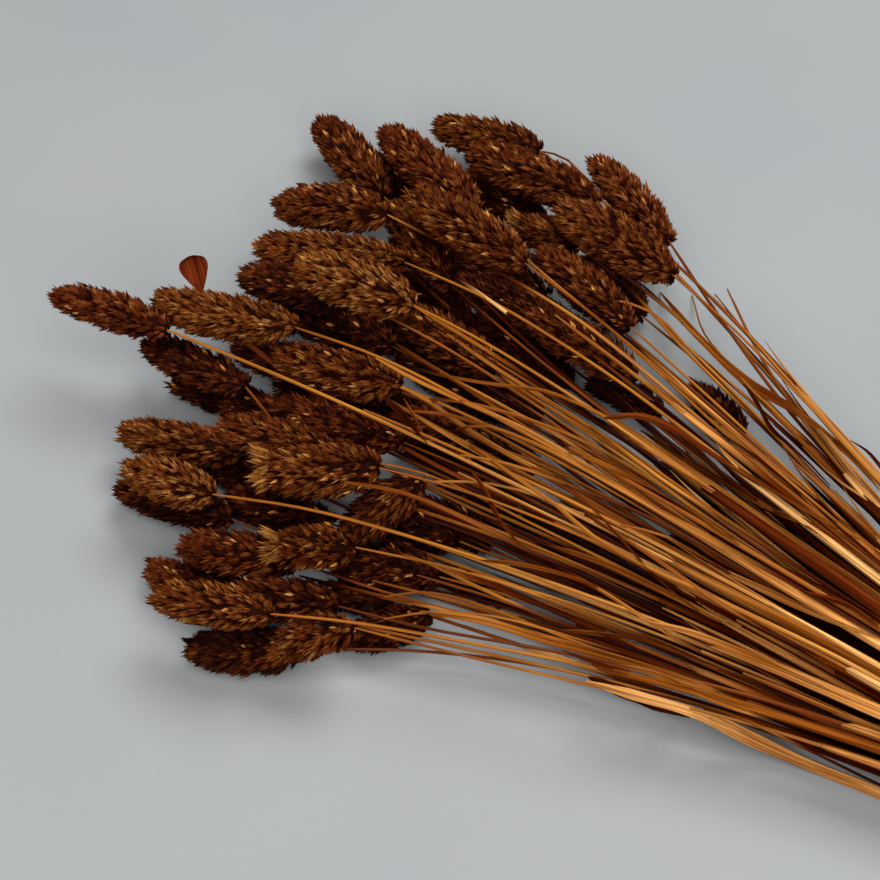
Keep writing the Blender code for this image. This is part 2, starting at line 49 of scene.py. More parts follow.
MM = 0.001
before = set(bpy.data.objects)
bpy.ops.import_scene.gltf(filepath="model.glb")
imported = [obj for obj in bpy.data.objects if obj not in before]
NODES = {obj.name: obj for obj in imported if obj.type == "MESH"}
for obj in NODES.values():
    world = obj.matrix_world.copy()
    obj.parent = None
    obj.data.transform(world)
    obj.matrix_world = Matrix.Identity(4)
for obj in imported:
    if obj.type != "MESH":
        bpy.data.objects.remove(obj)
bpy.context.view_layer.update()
STALKS = sorted(name for name in NODES if name.startswith("stalk_"))
BARE_STRAWS = sorted(name for name in NODES if name.startswith("bare_straw_"))
LEAF_BLADES = sorted(name for name in NODES if name.startswith("leaf_blade_"))

# Where the photograph looks: from the tie to the table point under the picture's middle.
TIE_TO_PICTURE_MIDDLE = Vector((-238 * MM, -2 * MM, 0))
TIE_INNER_RADIUS = 16.5 * MM
TWINE_RADIUS = 0.9 * MM
TWINE_TURNS = 3
TWINE_PITCH = 2.15 * MM

# One ply's lay length, its offset from the twine's middle and its own radius, the length of a free
# end, and the direction that the plies are turned from.
PLY_LAY, PLY_OFFSET, PLY_RADIUS = 5.5 * MM, 0.44 * MM, 0.47 * MM
TWINE_TAIL = 13.5 * MM
TWINE_LEVEL = (1, 0, 0.01)

# A straw's materials: slot 0 for glumes, 1 for the culm, 2 for sheaths and leaf strips.
LOOKS = ("papery_glume_dyed_brown", "waxy_straw_dyed_gold", "dry_leaf_sheath_dyed")
GLUME, CULM, SHEATH = range(3)
SMOOTH_ANGLE = math.radians(40)
# The fan's half width along it, as a share of its widest place.
FAN_SHAPE = ((0, 0.16), (0.3, 0.6), (0.6, 0.95), (0.75, 1), (0.88, 0.88), (0.96, 0.6), (1, 0.25))
GOLDEN_ANGLE = math.pi * (3 - math.sqrt(5))
# Glumes in a spikelet.
SPIKELET = 4
FADED_HEADS = ("stalk_17", "stalk_29", "stalk_35")
# The lens's focal length and the picture's middle, in pixels of the photograph.
FOCAL_PIXELS = 2444.4
MIDDLE_PIXEL = 440
# The gap kept between loose straws and what they lie on.
GAP = 0.1 * MM
LAMP_DISTANCE = 1.5
WHITE = (1, 1, 1)
# Ways towards the light, and how far along them a straw can be shaded by another.
COVER_REACH = 45 * MM
COVER_WAYS = ((0, 0, 1), (0.4, -0.5, 0.77), (0.35, 0.2, 0.9), (-0.3, 0.3, 0.9), (-0.1, -0.35, 0.93))

# Nodes of the materials, and a colour mix's inputs, its output and its two ways to blend.
RAMP, MIX, NOISE = "ShaderNodeValToRGB", "ShaderNodeMix", "ShaderNodeTexNoise"
SHARE, FIRST, SECOND, MIXED = 0, 6, 7, 2
BLEND = {"data_type": "RGBA"}
MULTIPLY = {"data_type": "RGBA", "blend_type": "MULTIPLY"}

# Straws that lie over the others, as pixels of the photograph from the free end to where each one
# joins the rest, then the half width in millimetres.
TOP_STRAWS = (
    (((402, 265), (425, 286), (450, 309)), 0.55),
    (((453, 276), (478, 292), (507, 313)), 0.5),
    (((410, 303), (440, 322), (478, 345), (540, 385), (600, 425), (660, 462)), 0.6),
    (((433, 324), (450, 334), (500, 365), (560, 401), (620, 438), (690, 486)), 0.45),
    (((438, 331), (452, 340), (500, 371), (560, 408), (620, 446), (690, 494)), 0.5),
    (((447, 334), (490, 364), (540, 396), (600, 434), (660, 480)), 0.6),
    (((391, 341), (430, 365), (480, 395), (540, 425), (610, 462)), 0.55),
    (((376, 358), (410, 377), (460, 400), (520, 427), (590, 466)), 0.65),
    (((400, 354), (430, 368), (470, 388), (520, 415), (580, 448)), 0.45),
    (((403, 366), (450, 377), (500, 385), (545, 391), (580, 404), (640, 436)), 0.5),
    (((398, 386), (420, 396), (460, 424), (510, 455), (570, 484)), 0.75),
    (((410, 408), (425, 401), (450, 400), (500, 411), (550, 427), (620, 458)), 0.5),
    (((410, 411), (440, 413), (480, 424), (540, 446), (600, 474)), 0.55),
    (((447, 441), (460, 429), (480, 425), (520, 437), (580, 466)), 0.45),
    (((493, 370), (506, 381), (530, 396), (570, 420), (630, 456)), 0.5),
    (((692, 295), (704, 333), (722, 356), (750, 388), (790, 424)), 0.3),
    (((715, 294), (740, 325), (762, 350), (800, 394)), 0.3),
    (((803, 447), (830, 474), (880, 508)), 0.3),
    (((300, 576), (340, 586), (390, 598), (440, 608), (485, 621), (560, 640)), 0.5),
    (((345, 482), (400, 492), (470, 521), (530, 551), (600, 580)), 0.6),
    (((417, 516), (460, 530), (520, 556), (580, 580)), 0.45),
    (((365, 545), (420, 560), (480, 588), (540, 615), (600, 636)), 0.45),
    (((535, 150), (560, 156), (576, 166), (588, 180)), 0.4),
    (((612, 300), (640, 306), (662, 320), (690, 350), (720, 376)), 0.45),
    (((618, 280), (640, 300), (680, 345), (720, 385), (760, 424)), 0.5),
    (((640, 283), (672, 312), (700, 340), (750, 384)), 0.5),
    (((622, 335), (660, 366), (700, 402), (740, 436)), 0.5),
    (((460, 455), (500, 462), (540, 474), (600, 497), (660, 520)), 0.5),
    (((470, 445), (520, 480), (560, 508), (600, 548)), 0.6),
    (((620, 525), (660, 534), (700, 556), (760, 590)), 0.4),
    (((640, 690), (690, 703), (732, 715), (800, 746), (876, 783), (930, 808)), 0.4),
    (((590, 425), (620, 448), (660, 478), (700, 505), (740, 534)), 0.5),
    (((597, 418), (640, 445), (690, 476), (740, 508)), 0.45),
    (((560, 500), (600, 523), (650, 555), (700, 590), (760, 628)), 0.55),
    (((545, 560), (600, 590), (650, 622), (700, 655)), 0.5),
    (((403, 556), (450, 568), (500, 582), (560, 604), (620, 628)), 0.45),
    (((417, 575), (450, 585), (500, 600), (560, 622), (620, 645)), 0.4),
    (((430, 590), (470, 597), (520, 612), (580, 633), (640, 654)), 0.35),
    (((384, 597), (420, 592), (460, 599), (520, 620), (600, 652)), 0.4),
    (((380, 598), (430, 607), (480, 620)), 0.35),
    (((384, 619), (430, 612), (478, 614), (520, 622), (580, 640)), 0.35),
)
# Seed heads under the others, seen only through gaps: tip and neck pixels, and the radius in mm.
# Their dark tone is partly painted shade for the gaps that they lie in.
LOW_HEADS = (
    ((350, 150), (418, 206), 6.2),
    ((392, 268), (470, 326), 6.2),
    ((472, 318), (568, 380), 6.5),
    ((404, 436), (478, 476), 6.0),
    ((205, 470), (285, 480), 5.2),
    ((440, 385), (540, 415), 6.5),
    ((440, 478), (520, 500), 5.5),
    ((590, 385), (660, 410), 5.0),
    ((395, 238), (425, 305), 5.0),
    ((440, 575), (505, 600), 4.0),
    ((455, 425), (535, 468), 6.5),
    ((470, 505), (560, 538), 4.5),
    ((528, 545), (612, 574), 5.2),
    ((405, 505), (490, 543), 6.0),
    ((322, 590), (392, 603), 5.0),
    ((350, 304), (428, 352), 6.0),
    ((398, 343), (464, 392), 6.5),
    ((376, 392), (428, 428), 5.5),
)
# Flat strips of torn leaf, as pixels from one end to the other, the half width in millimetres, and
# the tone from dark red brown at 0 to gold at 1.
LEAF_STRIPS = (
    (((383, 396), (402, 414), (425, 441)), 1.1, 0.2),
    (((404, 398), (414, 416), (428, 445)), 0.7, 0.3),
    (((604, 418), (640, 416), (664, 424), (700, 446), (760, 486)), 1.3, 0.3),
    (((660, 292), (700, 338), (745, 380), (800, 414), (850, 456), (880, 490)), 1.3, 0.42),
    (((744, 384), (757, 403), (770, 427), (792, 448), (830, 486)), 0.9, 0.15),
    (((846, 478), (862, 497), (880, 514), (940, 590), (1010, 680)), 1.3, 0.1),
    (((470, 470), (482, 485), (500, 520), (520, 545)), 0.7, 0.2),
    (((437, 560), (475, 577), (520, 596), (580, 622), (640, 650)), 0.9, 0.15),
    (((420, 611), (480, 620), (540, 638), (600, 655), (660, 672), (740, 700)), 1.2, 0.5),
    (
        ((586, 681), (630, 694), (698, 714), (756, 741), (804, 763), (876, 792), (990, 846)),
        1.8,
        0.85,
    ),
    (((588, 677), (612, 687), (640, 699), (690, 717)), 1.6, 0.12),
    (((610, 664), (650, 672), (700, 694), (780, 724)), 0.8, 0.5),
    (((560, 630), (600, 634), (640, 640), (700, 662)), 0.8, 0.4),
    (((556, 476), (590, 505), (625, 543), (663, 583), (700, 612)), 0.8, 0.3),
    (((556, 443), (626, 475), (692, 512), (740, 545)), 1.4, 0.5),
    (((760, 508), (800, 520), (840, 545), (880, 572)), 1.0, 0.3),
    (((690, 440), (740, 470), (800, 506), (860, 540)), 1.0, 0.4),
    (((700, 560), (760, 588), (820, 616), (880, 640)), 1.0, 0.7),
    (((640, 430), (680, 456), (730, 486), (790, 520)), 1.0, 0.5),
    (((640, 620), (690, 632), (760, 660), (850, 700)), 0.9, 0.6),
    (((800, 590), (850, 606), (880, 628)), 0.8, 0.2),
    (((550, 545), (600, 562), (660, 590), (720, 622)), 0.8, 0.5),
    (((480, 560), (530, 566), (580, 580), (650, 612)), 0.7, 0.4),
    (((850, 440), (868, 452), (880, 466), (940, 550), (1010, 650)), 0.8, 0.2),
)
# The colour of single seed heads, as shade and redness; the others are a middle brown.
HEAD_TONES = {
    **dict.fromkeys(("04", "06", "07", "18", "26", "27", "29", "38"), (0.6, 0.15)),
    **dict.fromkeys(("12", "13", "14", "15", "25", "34", "48"), (0.52, 0.35)),
    **dict.fromkeys(("01", "11", "30", "31", "36", "37", "39"), (0.46, 0.65)),
    # Dark ones, partly painted shade for heads that lie low and in shadow.
    **dict.fromkeys(("02", "03", "05", "32", "33", "42", "43", "45"), (0.36, 0.5)),
    "19": (0.62, 0.7),
    "40": (0.36, 0.2),
    "41": (0.62, 0.1),
}
# Glumes stay between the table and this height.
LOWEST, HIGHEST = 0.1 * MM, 51.2 * MM
# A head's radius along it, as shares of its widest radius and of its length from neck to tip.
HEAD_SHAPE = (
    *((-0.02, 0.2), (0, 0.42), (0.1, 0.76), (0.25, 0.97), (0.45, 1.0)),
    *((0.65, 0.97), (0.82, 0.84), (0.93, 0.66), (1, 0.4)),
)


def srgb(code):
    """A hex colour as linear red, green, blue and alpha."""
    parts = [int(code[i : i + 2], 16) / 255 for i in (1, 3, 5)]
    return (*(p / 12.92 if p <= 0.04045 else ((p + 0.055) / 1.055) ** 2.4 for p in parts), 1.0)


def unit(vectors):
    """Vectors at length one, along the last axis."""
    return vectors / np.linalg.norm(vectors, axis=-1, keepdims=True)


def at(outline, place):
    """The value of a broken line of (place, value) pairs at one place or several."""
    return np.interp(place, [p[0] for p in outline], [p[1] for p in outline])


def distances(points):
    """How far along a chain each of its points lies."""
    return np.concatenate(([0], np.cumsum(np.linalg.norm(np.diff(points, axis=0), axis=1))))


def rings_of(node):
    """A strand's rings of corners in a CAD node, from its cut end: each one's next neighbours."""
    mesh = bmesh.new()
    mesh.from_mesh(NODES[node].data)
    bmesh.ops.remove_doubles(mesh, verts=mesh.verts, dist=0.001 * MM)
    mesh.verts.ensure_lookup_table()
    far = max(v.co.x for v in mesh.verts)
    ring = [v for v in mesh.verts if v.co.x > far - 4 * MM]
    seen, rings = set(ring), []
    while ring:
        rings.append(np.array([v.co for v in ring]))
        near = {e.other_vert(v) for v in ring for e in v.link_edges}
        ring = sorted(near - seen, key=lambda v: v.index)
        seen.update(ring)
    mesh.free()
    return rings


class Line:
    """A strand's middle line, drawn as a smooth curve through a few points."""

    def __init__(self, points):
        self.knots = np.array(points)
        self.places = distances(self.knots)
        self.length = self.places[-1]
        self.slopes = np.gradient(self.knots, self.places, axis=0)

    def point(self, where):
        """Points at distances from the cut end."""
        where = np.clip(np.atleast_1d(where), 0, self.length)
        k = np.clip(np.searchsorted(self.places, where, side="right") - 1, 0, len(self.places) - 2)
        gap = (self.places[k + 1] - self.places[k])[:, None]
        t = (where - self.places[k])[:, None] / gap
        one, two = self.knots[k], self.knots[k + 1]
        lead, trail = self.slopes[k] * gap, self.slopes[k + 1] * gap
        return (
            one * (2 * t**3 - 3 * t**2 + 1)
            + lead * (t**3 - 2 * t**2 + t)
            + two * (-2 * t**3 + 3 * t**2)
            + trail * (t**3 - t**2)
        )


class Parts:
    """Collects small shapes for one mesh, with a tint at each point and a place at each corner."""

    def __init__(self):
        self.points, self.tints, self.faces, self.places, self.slots = [], [], [], [], []
        self.count = 0

    def add(self, points, tints, faces, places, slot):
        """Adds one shape. faces is an array of corner numbers, places has two numbers a corner."""
        self.points.append(np.reshape(points, (-1, 3)))
        self.tints.append(np.broadcast_to(tints, (len(self.points[-1]), 4)))
        self.faces.extend((np.asarray(faces) + self.count).tolist())
        self.places.append(np.reshape(places, (-1, 2)))
        self.slots.extend([slot] * len(faces))
        self.count += len(self.points[-1])

    def cap(self, ring, slot):
        """Closes an end of the shape added last, given its ring among that shape's corners."""
        base = self.count - len(self.points[-1])
        self.faces.append((ring + base).tolist())
        self.places.append(np.zeros((len(ring), 2)))
        self.slots.append(slot)

    def piece(self, name, materials, replaced, slot):
        """Makes the mesh object, puts it under the root, and hides the nodes that it replaces."""
        points = np.concatenate(self.points)
        if not np.isfinite(points).all():
            raise RuntimeError(f"{name} has corners that lie nowhere")
        mesh = bpy.data.meshes.new(name)
        mesh.from_pydata(points, [], self.faces)
        tint = mesh.attributes.new("tint", "FLOAT_COLOR", "POINT")
        tint.data.foreach_set("color", np.concatenate(self.tints).astype(np.float32).ravel())
        layer = mesh.uv_layers.new(name="surface")
        layer.data.foreach_set("uv", np.concatenate(self.places).astype(np.float32).ravel())
        mesh.polygons.foreach_set("material_index", self.slots)
        for material in materials:
            mesh.materials.append(material)
        obj = bpy.data.objects.new(name, mesh)
        bpy.context.scene.collection.objects.link(obj)
        bpy.ops.object.select_all(action="DESELECT")
        obj.select_set(True)
        bpy.context.view_layer.objects.active = obj
        bpy.ops.object.shade_smooth_by_angle(angle=SMOOTH_ANGLE)
        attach(obj, "root")
        if replaced:
            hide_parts(*replaced)
        return obj


def paint(count, shade, dark=0.0, painted_shade=0.0):
    """Tints for the points of a straw or leaf: shade, darkness, and painted shade where covered."""
    tints = np.zeros((count, 4))
    tints[:, 0], tints[:, 1], tints[:, 2] = shade, dark, painted_shade
    return tints


def axes_along(points, level_with=(0, 0, 1)):
    """At each point of a chain, the directions forward, level, and low."""
    forward = unit(np.gradient(points, axis=0))
    level = unit(np.cross(forward, level_with))
    return forward, level, np.cross(forward, level)


def grid(parts, corners, along, tints, slot):
    """Adds a closed tube from its rings of corners. along has each ring's place in millimetres."""
    count, sides = corners.shape[:2]
    i, j = np.meshgrid(np.arange(count - 1), np.arange(sides), indexing="ij")
    k = (j + 1) % sides
    quads = np.stack((i * sides + j, (i + 1) * sides + j, (i + 1) * sides + k, i * sides + k), -1)
    middle = corners.mean(1, keepdims=True)
    step = float(np.linalg.norm(corners - middle, axis=2).mean()) * 2 * math.pi / sides / MM
    one, two = along[i], along[i + 1]
    u, v = j * step, (j + 1) * step
    places = np.stack((u, one, u, two, v, two, v, one), -1)
    parts.add(corners, np.repeat(tints, sides, axis=0), quads.reshape(-1, 4), places, slot)
    parts.cap(np.arange(sides), slot)
    parts.cap((count - 1) * sides + np.arange(sides)[::-1], slot)


def rings(points, axes, radii, shift=0.0):
    """Rings of corners round points, for given axes; shift moves single corners forward."""
    forward, level, low = axes
    angle = 2 * math.pi * np.arange(radii.shape[1]) / radii.shape[1]
    across = np.cos(angle)[None, :, None] * low[:, None]
    across = across + np.sin(angle)[None, :, None] * level[:, None]
    ahead = np.broadcast_to(shift, radii.shape)[:, :, None] * forward[:, None]
    return points[:, None] + radii[:, :, None] * across + ahead


def tube(parts, points, radii, tints, slot, level_with=(0, 0, 1)):
    """Adds a closed tube round a chain, with a row of radii and a tint for each point."""
    corners = rings(points, axes_along(points, level_with), radii)
    grid(parts, corners, distances(points) / MM, tints, slot)


def strip(parts, points, facing, half_widths, thickness, fold, tints, slot):
    """Adds a leaf: a closed strip folded down its middle, its upper side facing a direction."""
    forward = unit(np.gradient(points, axis=0))
    side = unit(np.cross(forward, facing))
    out = np.cross(side, forward)
    half = half_widths[:, None]
    rows = [points - side * half, points - out * half * fold, points + side * half]
    rows += [row - out * thickness for row in reversed(rows)]
    corners = np.stack(rows, 1)
    count, sides = len(points), len(rows)
    i, j = np.meshgrid(np.arange(count - 1), np.arange(sides), indexing="ij")
    k = (j + 1) % sides
    quads = np.stack((i * sides + j, i * sides + k, (i + 1) * sides + k, (i + 1) * sides + j), -1)
    along = distances(points) / MM
    across = np.array((-1.0, 0.0, 1.0, 1.0, 0.0, -1.0))
    wide = half_widths / MM
    one, two = along[i], along[i + 1]
    places = np.stack(
        (
            *(across[j] * wide[i], one, across[k] * wide[i], one),
            *(across[k] * wide[i + 1], two, across[j] * wide[i + 1], two),
        ),
        -1,
    )
    parts.add(corners, np.repeat(tints, sides, axis=0), quads.reshape(-1, 4), places, slot)
    parts.cap(np.arange(sides)[::-1], slot)
    parts.cap((count - 1) * sides + np.arange(sides), slot)


def linear_stops(stops, tint=WHITE):
    """A colour ramp's places, and their hex colours as linear ones multiplied by a tint."""
    return [(place, [c * t for c, t in zip(srgb(code), (*tint, 1))]) for place, code in stops]


def node_in(tree, kind, settings):
    """Adds a node to a material and returns its outputs. A setting is a property, a colour ramp's
    stops, or an input: its value, or the source that it is linked to."""
    node = tree.nodes.new(kind)
    for key, value in settings.items():
        if key == "stops":
            ends = node.color_ramp.elements
            while len(ends) < len(value):
                ends.new(0.5)
            for end, (place, colour) in zip(ends, value):
                end.position = place
                end.color = colour
        elif isinstance(value, bpy.types.NodeSocket):
            tree.links.new(value, node.inputs[key])
        elif isinstance(key, int) or key in node.inputs:
            node.inputs[key].default_value = value
        else:
            setattr(node, key, value)
    return node.outputs


def new_material(name, roughness, ior=1.45, shine=0.25):
    """A named material, with its tree and shader."""
    material = bpy.data.materials.new(name)
    material.use_nodes = True
    shader = material.node_tree.nodes["Principled BSDF"]
    shader.inputs["Roughness"].default_value = roughness
    shader.inputs["IOR"].default_value = ior
    shader.inputs["Specular IOR Level"].default_value = shine
    return material, material.node_tree, shader


def skin(tree, shader, colour, height, strength, distance):
    """Gives a material its colour, and a surface that is raised by a height source."""
    settings = {"Height": height, "Strength": strength, "Distance": distance}
    raised = node_in(tree, "ShaderNodeBump", settings)["Normal"]
    tree.links.new(colour, shader.inputs["Base Color"])
    tree.links.new(raised, shader.inputs["Normal"])


def tint_of(tree):
    """The four numbers painted on a piece. Glumes: shade, place along, redness and fade. Straws and
    leaves: shade, darkness, and painted shade from how far they are covered."""
    painted = node_in(tree, "ShaderNodeAttribute", {"attribute_name": "tint"})
    parts = node_in(tree, "ShaderNodeSeparateColor", {"Color": painted["Color"]})
    return parts["Red"], parts["Green"], parts["Blue"], painted["Alpha"]


def lengthwise(tree, across_scale, along_scale, detail=3.0):
    """Noise drawn out along the grain, in millimetres on the surface."""
    place = node_in(tree, "ShaderNodeUVMap", {"uv_map": "surface"})["UV"]
    scale = (across_scale, along_scale, 1)
    drawn = node_in(tree, "ShaderNodeMapping", {"Scale": scale, "Vector": place})["Vector"]
    return node_in(tree, NOISE, {"Vector": drawn, "Scale": 1.0, "Detail": detail})["Fac"]


def dyed_glume_material(tint):
    """Papery glumes steeped in brown dye and air dried: dull, with painted shade dark at the foot
    and lighter towards the tip, some redder than others. Undyed grains and faded tips show straw
    gold."""
    material, tree, shader = new_material("papery_glume_dyed_brown", 0.65, 1.42, 0.03)
    shade, along, redness, fade = tint_of(tree)
    places = (0.0, 0.3, 0.6, 0.85, 1.0)
    olive = zip(places, ("#1b0702", "#381804", "#5a2d0a", "#704316", "#825a2c"))
    olive = node_in(tree, RAMP, {"Fac": shade, "stops": linear_stops(olive, tint)})["Color"]
    red = zip(places, ("#190401", "#361004", "#54200a", "#693216", "#7c4828"))
    red = node_in(tree, RAMP, {"Fac": shade, "stops": linear_stops(red, tint)})["Color"]
    colour = node_in(tree, MIX, {**BLEND, SHARE: redness, FIRST: olive, SECOND: red})[MIXED]
    # Painted shade along each glume: dark at the foot, where it lies deep among the others.
    lit = ((0.0, "#201008"), (0.3, "#906850"), (0.6, "#ffffff"), (0.9, "#fff4e8"), (1.0, "#c8a088"))
    lit = node_in(tree, RAMP, {"Fac": along, "stops": linear_stops(lit)})["Color"]
    colour = node_in(tree, MIX, {**MULTIPLY, SHARE: 1.0, FIRST: colour, SECOND: lit})[MIXED]
    veins = lengthwise(tree, 3.0, 0.5)
    ribbed = linear_stops(((0.3, "#8a5c34"), (0.7, "#ffffff")))
    ribbed = node_in(tree, RAMP, {"Fac": veins, "stops": ribbed})["Color"]
    colour = node_in(tree, MIX, {**MULTIPLY, SHARE: 0.7, FIRST: colour, SECOND: ribbed})[MIXED]
    gold = ((0.0, "#6a380e"), (0.4, "#925a24"), (0.8, "#ab783c"), (1.0, "#845022"))
    gold = node_in(tree, RAMP, {"Fac": along, "stops": linear_stops(gold)})["Color"]
    colour = node_in(tree, MIX, {**BLEND, SHARE: fade, FIRST: colour, SECOND: gold})[MIXED]
    skin(tree, shader, colour, veins, 0.4, 0.1 * MM)
    return material


def fibrous_material(name, finish, tint, shades, broad, fine, dark_colour, ribs):
    """A straw-like material: shades crossed by broad and fine streaks along the grain, dark where
    it is painted so (dark joints, and painted shade in hollows and mouths), and painted shade of
    a deeper redder brown where the piece lies under others. broad and fine have the streaks'
    scales for each millimetre, their colours and their share."""
    material, tree, shader = new_material(name, *finish)
    shade, dark, painted_shade, _ = tint_of(tree)
    colour = node_in(tree, RAMP, {"Fac": shade, "stops": linear_stops(shades, tint)})["Color"]
    for scales, streaks, share in (broad, fine):
        noise = lengthwise(tree, *scales)
        streaks = node_in(tree, RAMP, {"Fac": noise, "stops": linear_stops(streaks)})["Color"]
        crossed = {**MULTIPLY, SHARE: share, FIRST: colour, SECOND: streaks}
        colour = node_in(tree, MIX, crossed)[MIXED]
    darkened = {**BLEND, SHARE: dark, FIRST: colour, SECOND: srgb(dark_colour)}
    colour = node_in(tree, MIX, darkened)[MIXED]
    # Painted shade: the colour turns darker and redder where the piece lies under others.
    inside = linear_stops(((0.14, "#ffffff"), (0.48, "#885832"), (0.88, "#2c0f05")))
    inside = node_in(tree, RAMP, {"Fac": painted_shade, "stops": inside})["Color"]
    colour = node_in(tree, MIX, {**MULTIPLY, SHARE: 1.0, FIRST: colour, SECOND: inside})[MIXED]
    skin(tree, shader, colour, noise, *ribs)
    return material


def straw_material(tint):
    """Ripe straw dyed golden brown: a smooth waxy skin with fine lengthwise ribs and streaks, which
    are drawn coarser than real ones so that they show at all."""
    return fibrous_material(
        "waxy_straw_dyed_gold",
        (0.5, 1.47, 0.06),
        tint,
        ((0.0, "#502409"), (0.3, "#7a400e"), (0.6, "#98601e"), (0.85, "#bc8648"), (1.0, "#d0a264")),
        ((0.7, 0.02, 4.0), ((0.32, "#c07840"), (0.5, "#ffffff"), (0.7, "#fff0d8")), 0.7),
        ((2.4, 0.03), ((0.35, "#7a4c2c"), (0.6, "#ffffff")), 0.7),
        "#2f0f03",
        (0.3, 0.08 * MM),
    )


def sheath_material(tint):
    """Dry leaf sheath, which took up more dye than the straw: red brown, dull, ribbed by veins."""
    return fibrous_material(
        "dry_leaf_sheath_dyed",
        (0.6, 1.45, 0.0),
        tint,
        ((0.0, "#2e0d04"), (0.3, "#582409"), (0.55, "#864c16"), (0.8, "#c08444"), (1.0, "#d8a464")),
        ((0.9, 0.03, 4.0), ((0.3, "#8a5030"), (0.52, "#ffffff"), (0.72, "#fff0dc")), 0.75),
        ((2.0, 0.03), ((0.36, "#6a3c24"), (0.6, "#ffffff")), 0.7),
        "#1d0702",
        (0.5, 0.12 * MM),
    )


def leaf_material(tint):
    """Dry grass leaf, dyed: red brown and dull, with close parallel veins."""
    return fibrous_material(
        "dry_grass_leaf_dyed",
        (0.6, 1.45, 0.0),
        tint,
        ((0.0, "#4c1a0a"), (0.3, "#6a2c12"), (0.6, "#804a1a"), (1.0, "#a06e32")),
        ((0.8, 0.03, 4.0), ((0.35, "#8a5030"), (0.6, "#ffffff")), 0.8),
        ((2.0, 0.04), ((0.36, "#6a3c24"), (0.6, "#ffffff")), 0.55),
        "#1c0602",
        (0.5, 0.12 * MM),
    )


def twine_material(tint):
    """Three-ply jute twine, undyed: dull tan fibres, darker between the plies."""
    material, tree, shader = new_material("jute_twine_three_ply", 0.9, 1.5, 0.15)
    fibres = lengthwise(tree, 6.0, 0.6, 5.0)
    tan = linear_stops(((0.3, "#674d2d"), (0.5, "#907249"), (0.72, "#a88c60")), tint)
    colour = node_in(tree, RAMP, {"Fac": fibres, "stops": tan})["Color"]
    skin(tree, shader, colour, fibres, 0.7, 0.15 * MM)
    return material


def paper_material(tint):
    """Plain pale grey paper, matt, with a faint tooth a few millimetres across."""
    material, tree, shader = new_material("pale_grey_paper", 0.9, 1.45)
    place = node_in(tree, "ShaderNodeTexCoord", {})["Object"]
    tooth = node_in(tree, NOISE, {"Vector": place, "Scale": 420.0, "Detail": 4.0})["Fac"]
    cloud = node_in(tree, NOISE, {"Vector": place, "Scale": 9.0, "Detail": 2.0})["Fac"]
    grey = linear_stops(((0.3, "#7a7b7c"), (0.7, "#7d7e7d")), tint)
    colour = node_in(tree, RAMP, {"Fac": cloud, "stops": grey})["Color"]
    skin(tree, shader, colour, tooth, 0.25, 0.4 * MM)
    return material


def model_scale():
    """Models one glume of a seed head, and returns its corners and triangles: base at the origin,
    tip at height 1, keel towards +Y, one wide."""
    bpy.ops.object.select_all(action="DESELECT")
    bpy.ops.mesh.primitive_cone_add(
        vertices=4, radius1=0.5, depth=0.66, end_fill_type="TRIFAN", location=(0, 0, 0.67)
    )
    scale = bpy.context.object
    mesh = scale.data
    mesh.transform(scale.matrix_world)
    scale.matrix_world.identity()
    bpy.ops.object.mode_set(mode="EDIT")
    shape_ring(scale, lambda co: co.z < 0.4 and co.xy.length < 0.1, (1, 1, 1), (0, 0, -0.34))
    shape_ring(scale, lambda co: 0.3 < co.z < 0.4, (1.3, 1.05, 1), (0, 0.06, 0.04))
    shape_ring(scale, lambda co: co.z > 0.95, (1, 1, 1), (0, 0.2, 0))
    bpy.ops.mesh.select_all(action="SELECT")
    bpy.ops.mesh.quads_convert_to_tris()
    bpy.ops.object.mode_set(mode="OBJECT")
    corners = np.array([v.co for v in mesh.vertices])
    triangles = np.array([p.vertices for p in mesh.polygons])
    bpy.data.objects.remove(scale)
    return corners, triangles


def shape_ring(obj, chosen, factors, move):
    """Scales the chosen corners about their own middle in edit mode, and moves them."""
    mesh = bmesh.from_edit_mesh(obj.data)
    middle, count = Vector(), 0
    for vert in mesh.verts:
        vert.select_set(chosen(vert.co))
        if vert.select:
            middle += vert.co
            count += 1
    mesh.select_flush_mode()
    bmesh.update_edit_mesh(obj.data)
    if count:
        bpy.ops.transform.resize(value=factors, center_override=middle / count)
        bpy.ops.transform.translate(value=move)


